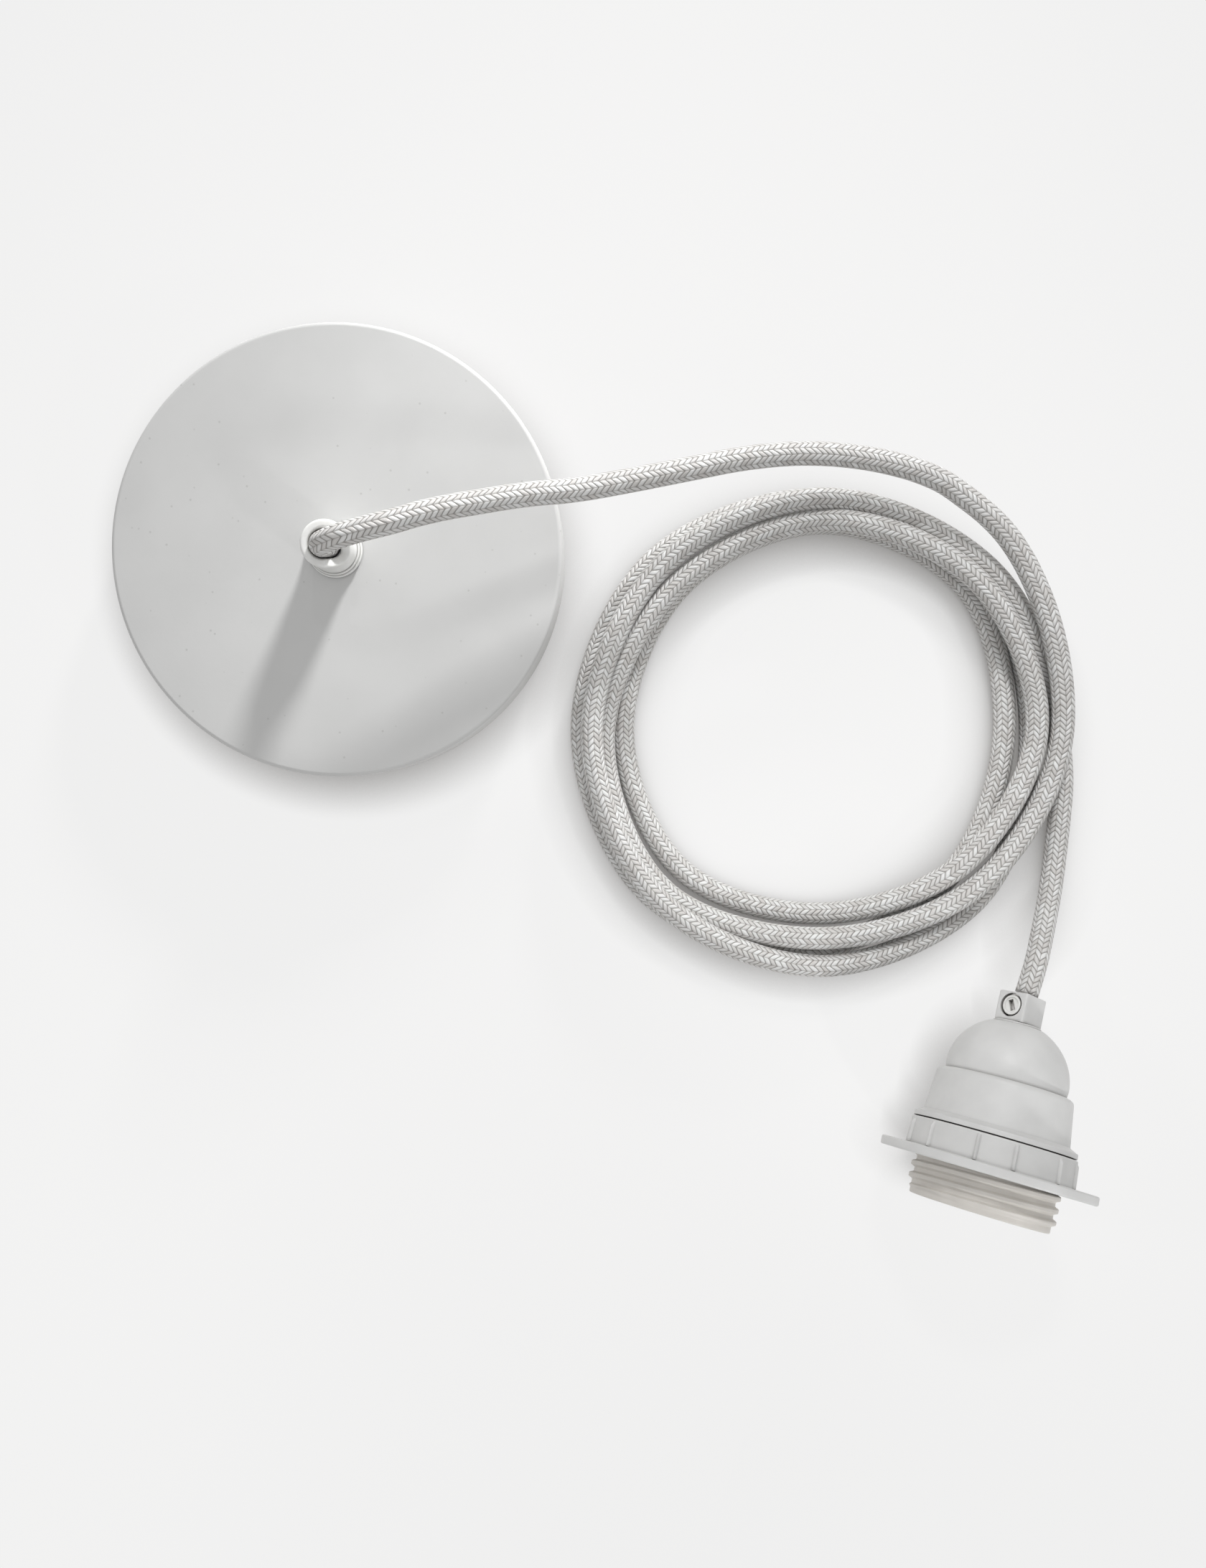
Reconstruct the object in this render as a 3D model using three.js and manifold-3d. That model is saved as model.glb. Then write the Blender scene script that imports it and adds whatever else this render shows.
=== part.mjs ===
// Pendant cord set: ceiling canopy with its cord grip and mounting strap, a textile cord in a
// loose four-turn coil, and a screw-type lamp holder with a threaded skirt and a shade ring.
// Units are millimetres. +Z is up, +X and +Y are the photograph's right and up.
// The set lies on a table: the canopy stands on its rim and the lamp holder on its flange.

import * as THREE from 'three';
import { mergeVertices } from 'three/addons/utils/BufferGeometryUtils.js';
import Module from 'manifold-3d';

const wasm = await Module();
wasm.setup();

// Driving dimensions: fits
const clearance = 0.3;
const plateClearance = 0.3;

// Driving dimensions: cord
const cordDiameter = 6.1;
const conductorDiameter = 2.0;
const conductorRing = 1.4;
const cordSides = 10;

// Driving dimensions: canopy, a pressed sheet cup
const canopyRadius = 61.5;
const canopyHeight = 20;
const canopySheet = 0.9;
const canopyEdgeRadius = 2.2;
const canopyCrown = 0.7;

// Driving dimensions: canopy cord grip
const nippleWall = 1.5;
const nippleBottom = 5.6;
const nippleGrip = 6.0;
const baseRingWidth = 2.2;
const baseRingStep = 0.55;
const baseRingHeight = 2.3;
const barrelWall = 1.15;
const barrelHeight = 12.1;
const barrelEase = 0.85;
const barrelLip = 0.9;
const scoopAngle = -35;
const scoopSlope = 54;
const scoopStart = 0.7;
const gripScrewRadius = 1.6;
const gripScrewBelowTop = 3.5;
const screwSlotWidth = 0.7;
const screwSlotDepth = 0.8;

// Driving dimensions: mounting strap inside the canopy and what it carries
const strapLength = 92;
const strapWidth = 16;
const strapThickness = 1.6;
const strapBottom = 8.4;
const strapSlotLength = 13;
const strapSlotWidth = 4.8;
const strapSlotCentre = 34;
const lockWasherWidth = 2.4;
const lockWasherThickness = 0.8;
const lockNutWall = 1.85;
const lockNutThickness = 3;
const earthScrewX = -15;
const earthScrewHead = 3.3;
const earthScrewHeadHeight = 2.2;
const earthScrewShank = 1.6;
const earthScrewLength = 5.2;
const terminalBlockX = 20;
const terminalBlockLength = 13;
const terminalBlockWall = 1.1;
const terminalSideWall = 2.1;
const terminalSpacing = 9.4;
const terminalTubeWall = 0.55;
const terminalTubeEase = 0.35;
const terminalTubeLength = 11;
const terminalScrewRadius = 1.1;
const terminalScrewSpacing = 6;
const fixingScrewRadius = 1.3;
const fixingScrewHead = 2.0;
const fixingScrewHeadHeight = 1.2;

// Driving dimensions: lamp holder, measured along its axis from the cord end to the mouth
const blockWall = 0.9;
const blockLength = 8.2;
const blockCornerRadius = 0.5;
const blockTurn = 18.7;
const blockTailWall = 1.5;
const blockTailLength = 5.4;
const blockScrewAt = 3.8;
const blockScrewRadius = 2.75;
const blockScrewSunk = 0.15;
const blockScrewSlot = 0.45;
const domeFlat = 1.25;
const domeLength = 14.5;
const domeStraight = 2.0;
const domeDraft = 0.4;
const shoulderStep = 1.6;
const shoulderLength = 2.3;
const capSkirtLength = 9.9;
const capSkirtDraft = 1.1;
const lipStep = 2.2;
const lipThickness = 2.5;
const lipSlope = 1.0;
const capWall = 2.0;
const capThreadWall = 1.5;
const collarWall = 2.1;
const collarLength = 7.4;
const collarDraft = 0.3;
const flangeWidth = 6.45;
const flangeThickness = 2.2;
const flangeEdge = 0.6;
const ribWidth = 0.8;
const ribHeight = 0.45;
const ribPairs = 6;
const ribFirst = 66;
const ribWideStep = 35;
const skirtStep = 1.9;
const skirtThreadDepth = 1.1;
const skirtPitch = 3.2;
const skirtThreadStart = 68;
const skirtThreadFade = 1.6;
const skirtBeyondFlange = 10.55;
const skirtPlainEnd = 1.2;
const skirtWall = 2.2;
const neckWall = 2.0;
const insulatorRim = 2.0;
const insulatorPlug = 6.0;
const shellBore = 12.9;
const shellWall = 0.5;
const shellWave = 0.42;
const shellPitch = 3.6;
const shellLength = 20;
const shellFloorHole = 8.5;
const shellEase = 0.78;
const contactWidth = 6;
const contactThickness = 0.7;
const contactRise = 3.4;
const contactLength = 13;
const rivetRadius = 1.5;
const rivetHead = 1.9;
const rivetHeadHeight = 0.8;
const shellRivetAt = 10.2;
const terminalPlateInner = 2.4;
const terminalPlateOuter = 12.2;
const terminalPlateWidth = 6;
const terminalPlateThickness = 1.2;
const holderScrewAt = 6.4;
const holderScrewHead = 3.1;
const holderScrewHeadHeight = 1.9;
const holderScrewShank = 1.3;

// Driving dimensions: how the pieces lie on the table, measured from the canopy's centre
const coilGap = 1.8;
const coilAside = -49.5;
const coilOuterRadius = 71.5;
const coilInnerRadius = 50;
const coilHeight = 12.6;
const coilRound = 4;
const coilLift = 0.25;
const holderFromCoil = [55.7, -73.6];
const holderHeading = 16.7;
const holderTilt = 15.2;

// Route of the free cord from the canopy grip to the top of the coil, chosen by hand: to the
// right of the grip's axis, toward the back, and height above the table
const upperRoute = [
  [0.2, 0, 32.3],
  [0.7, 0, 34.4],
  [2.7, -0.1, 37.7],
  [5.8, 0.3, 40.9],
  [9.2, 1.1, 42.4],
  [16.8, 3.4, 43.8],
  [28.8, 6.9, 42.8],
  [40.8, 9.5, 40.6],
  [52.8, 11.8, 38.2],
  [65.1, 13.4, 35.8],
  [80.0, 16.5, 32.8],
  [95.1, 19.9, 30.2],
  [110.4, 23.2, 27.8],
  [125.9, 24.9, 25.6],
  [139.6, 24.5, 23.8],
  [152.5, 22.4, 22.2],
  [163.6, 18.8, 20.8],
  [172.4, 13.3, 19.6],
  [179.0, 8.3, 18.6],
  [183.5, 3.7, 17.6],
  [190.0, -5.9, 16.4],
  [194.7, -15.5, 15.9],
];

// Stretch of cord from under the coil to the lamp holder: where it leaves, and its heights
const lowerLeaves = -27;
const lowerHeights = [4.6, 6.6];
const lowerBow = 1.6;

// Materials
function finish(color, roughness, metalness) {
  return new THREE.MeshStandardMaterial({ color, roughness, metalness });
}
const whiteEnamel = finish(0xe6e6e4, 0.45, 0.0);
const whiteNylon = finish(0xf0f0ee, 0.35, 0.0);
const whitePlastic = finish(0xe4e3e1, 0.55, 0.0);
const braid = finish(0xd4d3d0, 0.8, 0.0);
const zincSteel = finish(0xb9bcbf, 0.4, 0.9);
const brass = finish(0xc9a85a, 0.35, 0.9);
const nickel = finish(0xc8c6c0, 0.3, 0.9);
const porcelain = finish(0xf2efe8, 0.4, 0.0);
const greenSteel = finish(0x3f7d4f, 0.45, 0.5);
const insulationBlack = finish(0x2b2b2c, 0.5, 0.0);
const insulationWhite = finish(0xe9e8e4, 0.5, 0.0);

const degree = Math.PI / 180;

// Booleans between closed meshes
function solid(geometry) {
  let bare = geometry.clone();
  bare.deleteAttribute('normal');
  bare.deleteAttribute('uv');
  bare = mergeVertices(bare, 1e-4);
  const vertProperties = new Float32Array(bare.attributes.position.array);
  const triVerts = new Uint32Array(bare.index.array);
  return new wasm.Manifold(new wasm.Mesh({ numProp: 3, vertProperties, triVerts }));
}

function geometryOf(manifold) {
  const mesh = manifold.getMesh();
  const geometry = new THREE.BufferGeometry();
  geometry.setAttribute('position', new THREE.BufferAttribute(new Float32Array(mesh.vertProperties), 3));
  geometry.setIndex(new THREE.BufferAttribute(new Uint32Array(mesh.triVerts), 1));
  geometry.computeVertexNormals();
  return geometry;
}

function cut(body, ...tools) {
  return geometryOf(tools.reduce((left, tool) => left.subtract(solid(tool)), solid(body)));
}

function join(body, ...pieces) {
  return geometryOf(pieces.reduce((left, piece) => left.add(solid(piece)), solid(body)));
}

// Turned shape about Z from a closed profile of [radius, height], outer wall drawn upward
function turned(profile, segments) {
  const points = profile.map(([r, z]) => new THREE.Vector2(r, z));
  points.push(points[0].clone());
  return new THREE.LatheGeometry(points, segments).rotateX(Math.PI / 2);
}

function arc(centreR, centreZ, radiusR, radiusZ, from, to, steps) {
  return Array.from({ length: steps + 1 }, (unused, i) => {
    const angle = (from + ((to - from) * i) / steps) * degree;
    return [centreR + radiusR * Math.cos(angle), centreZ + radiusZ * Math.sin(angle)];
  });
}

function tube(outer, inner, bottom, top, segments) {
  return turned([[inner, bottom], [outer, bottom], [outer, top], [inner, top]], segments);
}

function rod(radius, bottom, top, segments) {
  return new THREE.CylinderGeometry(radius, radius, top - bottom, segments)
    .rotateX(Math.PI / 2)
    .translate(0, 0, (bottom + top) / 2);
}

function box(x0, x1, y0, y1, z0, z1) {
  return new THREE.BoxGeometry(x1 - x0, y1 - y0, z1 - z0)
    .translate((x0 + x1) / 2, (y0 + y1) / 2, (z0 + z1) / 2);
}

function plate(outline, holes, bottom, top, curveSegments) {
  outline.holes.push(...holes);
  return new THREE.ExtrudeGeometry(outline, { depth: top - bottom, bevelEnabled: false, curveSegments })
    .translate(0, 0, bottom);
}

function roundedBar(length, width, radius) {
  const bar = new THREE.Shape();
  bar.moveTo(-length / 2 + radius, -width / 2);
  bar.lineTo(length / 2 - radius, -width / 2);
  bar.absarc(length / 2 - radius, -width / 2 + radius, radius, -Math.PI / 2, 0);
  bar.lineTo(length / 2, width / 2 - radius);
  bar.absarc(length / 2 - radius, width / 2 - radius, radius, 0, Math.PI / 2);
  bar.lineTo(-length / 2 + radius, width / 2);
  bar.absarc(-length / 2 + radius, width / 2 - radius, radius, Math.PI / 2, Math.PI);
  bar.lineTo(-length / 2, -width / 2 + radius);
  bar.absarc(-length / 2 + radius, -width / 2 + radius, radius, Math.PI, 1.5 * Math.PI);
  return bar;
}

function circle(x, y, radius) {
  return new THREE.Path().absarc(x, y, radius, 0, 2 * Math.PI);
}

function slot(x, length, width) {
  const path = new THREE.Path();
  const half = (length - width) / 2;
  path.absarc(x + half, 0, width / 2, -Math.PI / 2, Math.PI / 2);
  path.absarc(x - half, 0, width / 2, Math.PI / 2, 1.5 * Math.PI);
  return path;
}

// Round section carried along a smooth curve through the given points
function cable(points, diameter, sides, steps) {
  const section = new THREE.Shape();
  for (let i = 0; i < sides; i += 1) {
    const angle = (2 * Math.PI * i) / sides;
    const corner = [(diameter / 2) * Math.cos(angle), (diameter / 2) * Math.sin(angle)];
    if (i === 0) section.moveTo(...corner);
    else section.lineTo(...corner);
  }
  section.closePath();
  const route = new THREE.CatmullRomCurve3(points.map((p) => new THREE.Vector3(...p)), false, 'centripetal');
  return new THREE.ExtrudeGeometry(section, { steps, extrudePath: route, bevelEnabled: false });
}

// Turned shape whose marked profile points follow a right-hand helical thread.
// The thread is a rounded wave that fades in and out at its ends.
function threaded(profile, segments, thread) {
  const rows = profile.length;
  const positions = [];
  for (let i = 0; i < segments; i += 1) {
    const turn = i / segments;
    const angle = 2 * Math.PI * turn + thread.start * degree;
    for (const [r, z, follows] of profile) {
      const fadeIn = THREE.MathUtils.smoothstep(z, thread.from, thread.from + thread.fade);
      const fadeOut = 1 - THREE.MathUtils.smoothstep(z, thread.to - thread.fade, thread.to);
      const wave = 0.5 + 0.5 * Math.cos(2 * Math.PI * (z / thread.pitch - turn));
      const radius = r + (follows ? thread.depth * wave * fadeIn * fadeOut : 0);
      positions.push(radius * Math.cos(angle), radius * Math.sin(angle), z);
    }
  }
  const index = [];
  for (let i = 0; i < segments; i += 1) {
    const next = (i + 1) % segments;
    for (let j = 0; j < rows; j += 1) {
      const up = (j + 1) % rows;
      const a = i * rows + j;
      const b = next * rows + j;
      const c = next * rows + up;
      const d = i * rows + up;
      index.push(a, b, d, b, c, d);
    }
  }
  const geometry = new THREE.BufferGeometry();
  geometry.setAttribute('position', new THREE.Float32BufferAttribute(positions, 3));
  geometry.setIndex(index);
  geometry.computeVertexNormals();
  return geometry;
}

// Profile points on one wall, evenly spaced and marked as following the thread
function threadedWall(radius, from, to, spacing) {
  const count = Math.max(2, Math.ceil(Math.abs(to - from) / spacing));
  return Array.from({ length: count + 1 }, (unused, i) => [radius, from + ((to - from) * i) / count, true]);
}

const own = new THREE.Group();
const cords = new THREE.Group();

function add(parent, name, geometry, material) {
  const mesh = new THREE.Mesh(geometry, material);
  mesh.name = name;
  parent.add(mesh);
  return mesh;
}

const clear = (radius) => radius + clearance;
const cordRadius = cordDiameter / 2;
const wireRadius = conductorDiameter / 2;
const nippleBore = clear(cordRadius);
const nippleRadius = nippleBore + nippleWall;
const baseRingRadius = clear(nippleRadius) + baseRingWidth;
const barrelHole = cordRadius + barrelEase;
const barrelRadius = clear(nippleRadius) + barrelWall;

// Canopy: drawn cup with a slightly crowned top, a rounded edge and one central hole
const canopyHole = clear(nippleRadius);
const cornerR = canopyRadius - canopyEdgeRadius;
const cornerZ = canopyHeight - canopyCrown - canopyEdgeRadius;
const innerEdge = canopyEdgeRadius - canopySheet;
add(own, 'canopy', turned([
  [canopyRadius - canopySheet, 0],
  [canopyRadius, 0],
  ...arc(cornerR, cornerZ, canopyEdgeRadius, canopyEdgeRadius, 0, 90, 5),
  [canopyHole, canopyHeight],
  [canopyHole, canopyHeight - canopySheet],
  ...arc(cornerR, cornerZ, innerEdge, innerEdge, 90, 0, 3),
], 60), whiteEnamel);

// Canopy cord grip: stepped base ring, barrel with a cut-down rim, and a nylon pinch screw
const baseRingBottom = canopyHeight + plateClearance;
const baseRingTop = baseRingBottom + baseRingHeight;
const ringStepZ = baseRingBottom + baseRingHeight / 2;
add(own, 'grip_base_ring', turned([
  [clear(nippleRadius), baseRingBottom],
  [baseRingRadius, baseRingBottom],
  [baseRingRadius, ringStepZ],
  [baseRingRadius - baseRingStep, ringStepZ],
  [baseRingRadius - baseRingStep, baseRingTop],
  [clear(nippleRadius), baseRingTop],
], 32), whiteNylon);

const barrelBottom = baseRingTop + plateClearance;
const barrelTop = barrelBottom + barrelHeight;
const nippleTop = barrelBottom + nippleGrip;
const lipCentreR = barrelHole + barrelLip;
const barrelOutline = [
  [clear(nippleRadius), barrelBottom],
  [barrelRadius, barrelBottom],
  ...arc(barrelRadius - barrelLip, barrelTop - barrelLip, barrelLip, barrelLip, 0, 90, 4),
  ...arc(lipCentreR, barrelTop - barrelLip, barrelLip, barrelLip, 90, 180, 4),
  [barrelHole, nippleTop + clearance],
  [clear(nippleRadius), nippleTop + clearance],
];
const scoopReach = 3 * barrelRadius;
const scoop = box(scoopStart, scoopReach, -scoopReach, scoopReach, 0, scoopReach)
  .translate(-scoopStart, 0, 0)
  .rotateY(scoopSlope * degree)
  .translate(scoopStart, 0, barrelTop)
  .rotateZ(scoopAngle * degree);
const gripScrewAngle = scoopAngle + 180;
const gripScrewZ = barrelTop - gripScrewBelowTop;
function radial(geometry, angle, z) {
  return geometry.rotateY(Math.PI / 2).rotateZ(angle * degree).translate(0, 0, z);
}
const screwBore = radial(rod(clear(gripScrewRadius), 0, 2 * barrelRadius, 16), gripScrewAngle, gripScrewZ);
add(own, 'grip_barrel', cut(turned(barrelOutline, 32), scoop, screwBore), whiteNylon);

function slottedScrew(radius, inner, outer) {
  const slotCut = box(-radius * 2, radius * 2, -screwSlotWidth / 2, screwSlotWidth / 2,
    outer - screwSlotDepth, outer + screwSlotDepth);
  return cut(rod(radius, inner, outer, 16), slotCut);
}
const gripScrew = slottedScrew(gripScrewRadius, cordRadius + clearance, barrelRadius);
add(own, 'grip_screw', radial(gripScrew, gripScrewAngle, gripScrewZ), whiteNylon);

add(own, 'hollow_nipple', tube(nippleRadius, nippleBore, nippleBottom, nippleTop, 24), zincSteel);
const stubTop = nippleTop + clearance;
const stubBottom = nippleBottom + clearance;
add(own, 'cord_end_in_canopy', rod(cordRadius, stubBottom, stubTop, 16), braid);

// Mounting strap: flat bar with two screw slots, tapped for the nipple and the earth screw
const strapTop = strapBottom + strapThickness;
add(own, 'mounting_strap', plate(
  roundedBar(strapLength, strapWidth, strapWidth / 4),
  [
    circle(0, 0, clear(nippleRadius)),
    circle(earthScrewX, 0, clear(earthScrewShank)),
    circle(terminalBlockX, 0, clear(fixingScrewRadius)),
    slot(-strapSlotCentre, strapSlotLength, strapSlotWidth),
    slot(strapSlotCentre, strapSlotLength, strapSlotWidth),
  ],
  strapBottom, strapTop, 6,
), zincSteel);

const washerBottom = strapTop + plateClearance;
const washerTop = washerBottom + lockWasherThickness;
const nutBottom = washerTop + plateClearance;
const nutCorner = ((clear(nippleRadius) + lockNutWall) * 2) / Math.sqrt(3);
const washerRadius = clear(nippleRadius) + lockWasherWidth;
add(own, 'lock_washer', tube(washerRadius, clear(nippleRadius), washerBottom, washerTop, 24), zincSteel);
add(own, 'lock_nut', cut(
  rod(nutCorner, nutBottom, nutBottom + lockNutThickness, 6),
  rod(clear(nippleRadius), nutBottom - 1, nutBottom + lockNutThickness + 1, 24),
), zincSteel);

// Earth screw: pan head under the strap, shank up through it
const headTop = strapBottom - plateClearance;
const headBottom = headTop - earthScrewHeadHeight;
const earthSlot = box(-earthScrewHead * 2, earthScrewHead * 2, -screwSlotWidth / 2, screwSlotWidth / 2,
  headBottom - 1, headBottom + screwSlotDepth);
const earthScrew = cut(turned([
  [0, headBottom],
  [earthScrewHead, headBottom],
  [earthScrewHead, headTop],
  [earthScrewShank, headTop],
  [earthScrewShank, headTop + earthScrewLength],
  [0, headTop + earthScrewLength],
], 20), earthSlot);
add(own, 'earth_screw', earthScrew.translate(earthScrewX, 0, 0), greenSteel);

// Terminal block under the strap: body, two brass tubes, their clamp screws and the fixing screw
const terminalTubeBore = wireRadius + terminalTubeEase;
const terminalTubeRadius = terminalTubeBore + terminalTubeWall;
const terminalTop = strapBottom - plateClearance;
const terminalMiddle = terminalTop - terminalBlockWall - clear(terminalTubeRadius);
const terminalBottom = 2 * terminalMiddle - terminalTop;
const terminalHalfWidth = terminalSpacing / 2 + clear(terminalTubeRadius) + terminalSideWall;
const rows = [['live', terminalSpacing / 2], ['neutral', -terminalSpacing / 2]];
const screwPlaces = [-terminalScrewSpacing / 2, terminalScrewSpacing / 2];
const alongX = (geometry) => geometry.rotateY(Math.PI / 2);
const blockHoles = [rod(clear(fixingScrewRadius), terminalBottom - 1, terminalTop + 1, 16)];
blockHoles.push(rod(clear(fixingScrewHead), terminalBottom - 1, terminalBottom + fixingScrewHeadHeight, 16));
for (const [, y] of rows) {
  blockHoles.push(alongX(rod(clear(terminalTubeRadius), -terminalBlockLength, terminalBlockLength, 16))
    .translate(0, y, terminalMiddle));
  for (const x of screwPlaces) {
    blockHoles.push(rod(clear(terminalScrewRadius), terminalBottom - 1, terminalMiddle, 12)
      .translate(x, y, 0));
  }
}
const terminalBody = box(-terminalBlockLength / 2, terminalBlockLength / 2,
  -terminalHalfWidth, terminalHalfWidth, terminalBottom, terminalTop);
add(own, 'terminal_block', cut(terminalBody, ...blockHoles).translate(terminalBlockX, 0, 0), insulationWhite);
for (const [name, y] of rows) {
  const brassTube = alongX(tube(terminalTubeRadius, terminalTubeBore,
    -terminalTubeLength / 2, terminalTubeLength / 2, 16));
  add(own, `terminal_tube_${name}`, brassTube.translate(terminalBlockX, y, terminalMiddle), brass);
  screwPlaces.forEach((x, i) => {
    const clampScrew = rod(terminalScrewRadius, terminalBottom + clearance,
      terminalMiddle - terminalTubeRadius - clearance / 2, 12);
    add(own, `terminal_screw_${name}_${i + 1}`, clampScrew.translate(terminalBlockX + x, y, 0), nickel);
  });
}
add(own, 'terminal_block_screw', turned([
  [0, terminalBottom],
  [fixingScrewHead, terminalBottom],
  [fixingScrewHead, terminalBottom + fixingScrewHeadHeight - clearance],
  [fixingScrewRadius, terminalBottom + fixingScrewHeadHeight - clearance],
  [fixingScrewRadius, strapTop],
  [0, strapTop],
], 16).translate(terminalBlockX, 0, 0), nickel);

// Conductors from the end of the cord to the terminals
const wireTop = stubBottom - clearance;
const terminalEntry = terminalBlockX - terminalTubeLength / 2;
for (const [name, y] of rows) {
  const side = Math.sign(y);
  const material = name === 'live' ? insulationBlack : insulationWhite;
  add(own, `supply_wire_${name}`, cable([
    [0, side * conductorRing, wireTop],
    [0.2, side * conductorRing, wireTop - 1.2],
    [2.6, side * (conductorRing + 0.8), terminalMiddle - 1.6],
    [terminalEntry - 4, y - side * 0.2, terminalMiddle - 0.4],
    [terminalEntry - 1, y, terminalMiddle],
    [terminalEntry + 2, y, terminalMiddle],
  ], conductorDiameter, 8, 10), material);
}

// Lamp holder: radii from the lamp's thread outward, then stations along the axis
const holder = new THREE.Group();
const blockBore = clear(cordRadius);
const blockSide = 2 * (blockBore + blockWall);
const blockTailRadius = blockBore + blockTailWall;
const capHole = clear(blockTailRadius);
const shellOuter = shellBore + shellWall;
const neckBore = shellOuter + shellWave + shellEase;
const neckRadius = neckBore + neckWall;
const capThreadRadius = clear(neckRadius);
const capSkirtRadius = capThreadRadius + capThreadWall;
const domeFoot = capSkirtRadius - shoulderStep;
const domeRadius = domeFoot - domeDraft;
const lipRadius = capSkirtRadius + capSkirtDraft + lipStep;
const skirtRoot = neckRadius + skirtStep;
const skirtBore = skirtRoot - skirtWall;
const ringBore = clear(skirtRoot);
const collarRadius = ringBore + skirtThreadDepth + collarWall;
const collarFoot = collarRadius + collarDraft;
const flangeRadius = collarFoot + flangeWidth;
const domeTop = blockLength + clearance;
const domeCentre = domeTop + domeLength;
const shoulderTop = domeCentre + domeStraight;
const capSkirtTop = shoulderTop + shoulderLength;
const lipTop = capSkirtTop + capSkirtLength;
const capEnd = lipTop + lipThickness;
const collarTop = capEnd + clearance;
const flangeTop = collarTop + collarLength;
const flangeEnd = flangeTop + flangeThickness;
const mouth = flangeEnd + skirtBeyondFlange;
const tailEnd = blockLength + blockTailLength;

// Cord grip block: square nylon block with a threaded tail, turned so that a corner faces up
const blockBody = plate(roundedBar(blockSide, blockSide, blockCornerRadius), [], 0, blockLength, 2);
const blockTail = rod(blockTailRadius, blockLength - 1, tailEnd, 24);
const blockBoreCut = rod(blockBore, -1, tailEnd + 1, 20);
const screwFaceTurn = (blockTurn + 45) * degree;
function onBlockFace(geometry) {
  return geometry.rotateX(Math.PI / 2).rotateZ(Math.PI + screwFaceTurn).translate(0, 0, blockScrewAt);
}
const screwWell = onBlockFace(rod(clear(blockScrewRadius), 0, blockSide, 20));
add(holder, 'holder_grip_block', cut(join(blockBody, blockTail).rotateZ(screwFaceTurn),
  blockBoreCut, screwWell), whitePlastic);
const blockScrewTop = blockSide / 2 - blockScrewSunk;
const blockScrew = rod(blockScrewRadius, clear(cordRadius), blockScrewTop, 20);
const blockSlotCut = box(-screwSlotWidth / 2, screwSlotWidth / 2, -blockSide, blockSide,
  blockScrewTop - blockScrewSlot, blockSide);
add(holder, 'holder_grip_screw', onBlockFace(cut(blockScrew, blockSlotCut)), whiteNylon);
add(holder, 'cord_end_in_holder', rod(cordRadius, clearance, tailEnd, 16), braid);

// Cap: domed shell with a shoulder, a skirt and a lip, open at the mouth side
const flatRadius = capHole + domeFlat;
const domeHeight = domeLength / Math.sqrt(1 - (flatRadius / domeRadius) ** 2);
const domeStart = Math.acos(flatRadius / domeRadius) / degree;
const insideRadius = domeRadius - capWall;
const insideHeight = domeHeight - capWall;
const insideStart = Math.acos(capHole / insideRadius) / degree;
const lipFace = 0.4;
add(holder, 'holder_cap', turned([
  [capHole, domeTop],
  ...arc(0, domeCentre, domeRadius, domeHeight, -domeStart, 0, 8),
  [domeFoot, shoulderTop],
  ...arc(domeFoot, capSkirtTop, shoulderStep, shoulderLength * 0.8, -90, 0, 3),
  [capSkirtRadius + capSkirtDraft, lipTop],
  [lipRadius - lipFace, lipTop + lipSlope],
  [lipRadius, capEnd],
  [capThreadRadius, capEnd],
  [capThreadRadius, capSkirtTop],
  [insideRadius, capSkirtTop],
  ...arc(0, domeCentre, insideRadius, insideHeight, 0, -insideStart, 6),
], 36), whitePlastic);

// Threaded skirt: neck inside the cap, coarse rounded thread outside, plain open end
const rimTop = clear(capSkirtTop);
const neckTop = rimTop + insulatorRim + clearance;
const threadFrom = collarTop + clearance;
const threadTo = mouth - skirtPlainEnd;
const skirtThread = {
  pitch: skirtPitch,
  depth: skirtThreadDepth,
  from: threadFrom,
  to: threadTo,
  fade: skirtThreadFade,
  start: skirtThreadStart,
};
const threadSpacing = skirtPitch / 4.5;
const endEdge = 0.4;
add(holder, 'threaded_skirt', threaded([
  [neckBore, neckTop],
  [neckRadius, neckTop],
  [neckRadius, collarTop],
  ...threadedWall(skirtRoot, collarTop, threadTo, threadSpacing),
  [skirtRoot, mouth - endEdge],
  [skirtRoot - endEdge, mouth],
  [skirtBore, mouth],
  [skirtBore, collarTop + capWall],
  [neckBore, collarTop],
], 36, skirtThread), whitePlastic);

// Shade ring: ribbed collar and flat flange, screwed on the skirt up to the cap
const ringThread = { ...skirtThread, from: threadFrom - 2 * skirtThreadFade, to: threadTo };
const ringProfile = [
  ...threadedWall(ringBore, flangeEnd, collarTop, threadSpacing),
  [collarRadius - endEdge, collarTop],
  [collarRadius, collarTop + endEdge],
  [collarFoot, flangeTop],
  [flangeRadius - flangeEdge, flangeTop],
  [flangeRadius, flangeTop + flangeEdge],
  [flangeRadius, flangeEnd - flangeEdge],
  [flangeRadius - flangeEdge, flangeEnd],
];
const ribStep = 360 / ribPairs;
const ribs = [];
for (let i = 0; i < ribPairs; i += 1) {
  for (const offset of [0, -ribWideStep]) {
    const angle = 90 + ribFirst + offset + i * ribStep;
    ribs.push(box(collarRadius - 1, collarFoot + ribHeight, -ribWidth / 2, ribWidth / 2,
      collarTop + ribWidth, flangeTop + flangeEdge).rotateZ(angle * degree));
  }
}
add(holder, 'shade_ring', join(threaded(ringProfile, 36, ringThread), ...ribs), whitePlastic);

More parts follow.
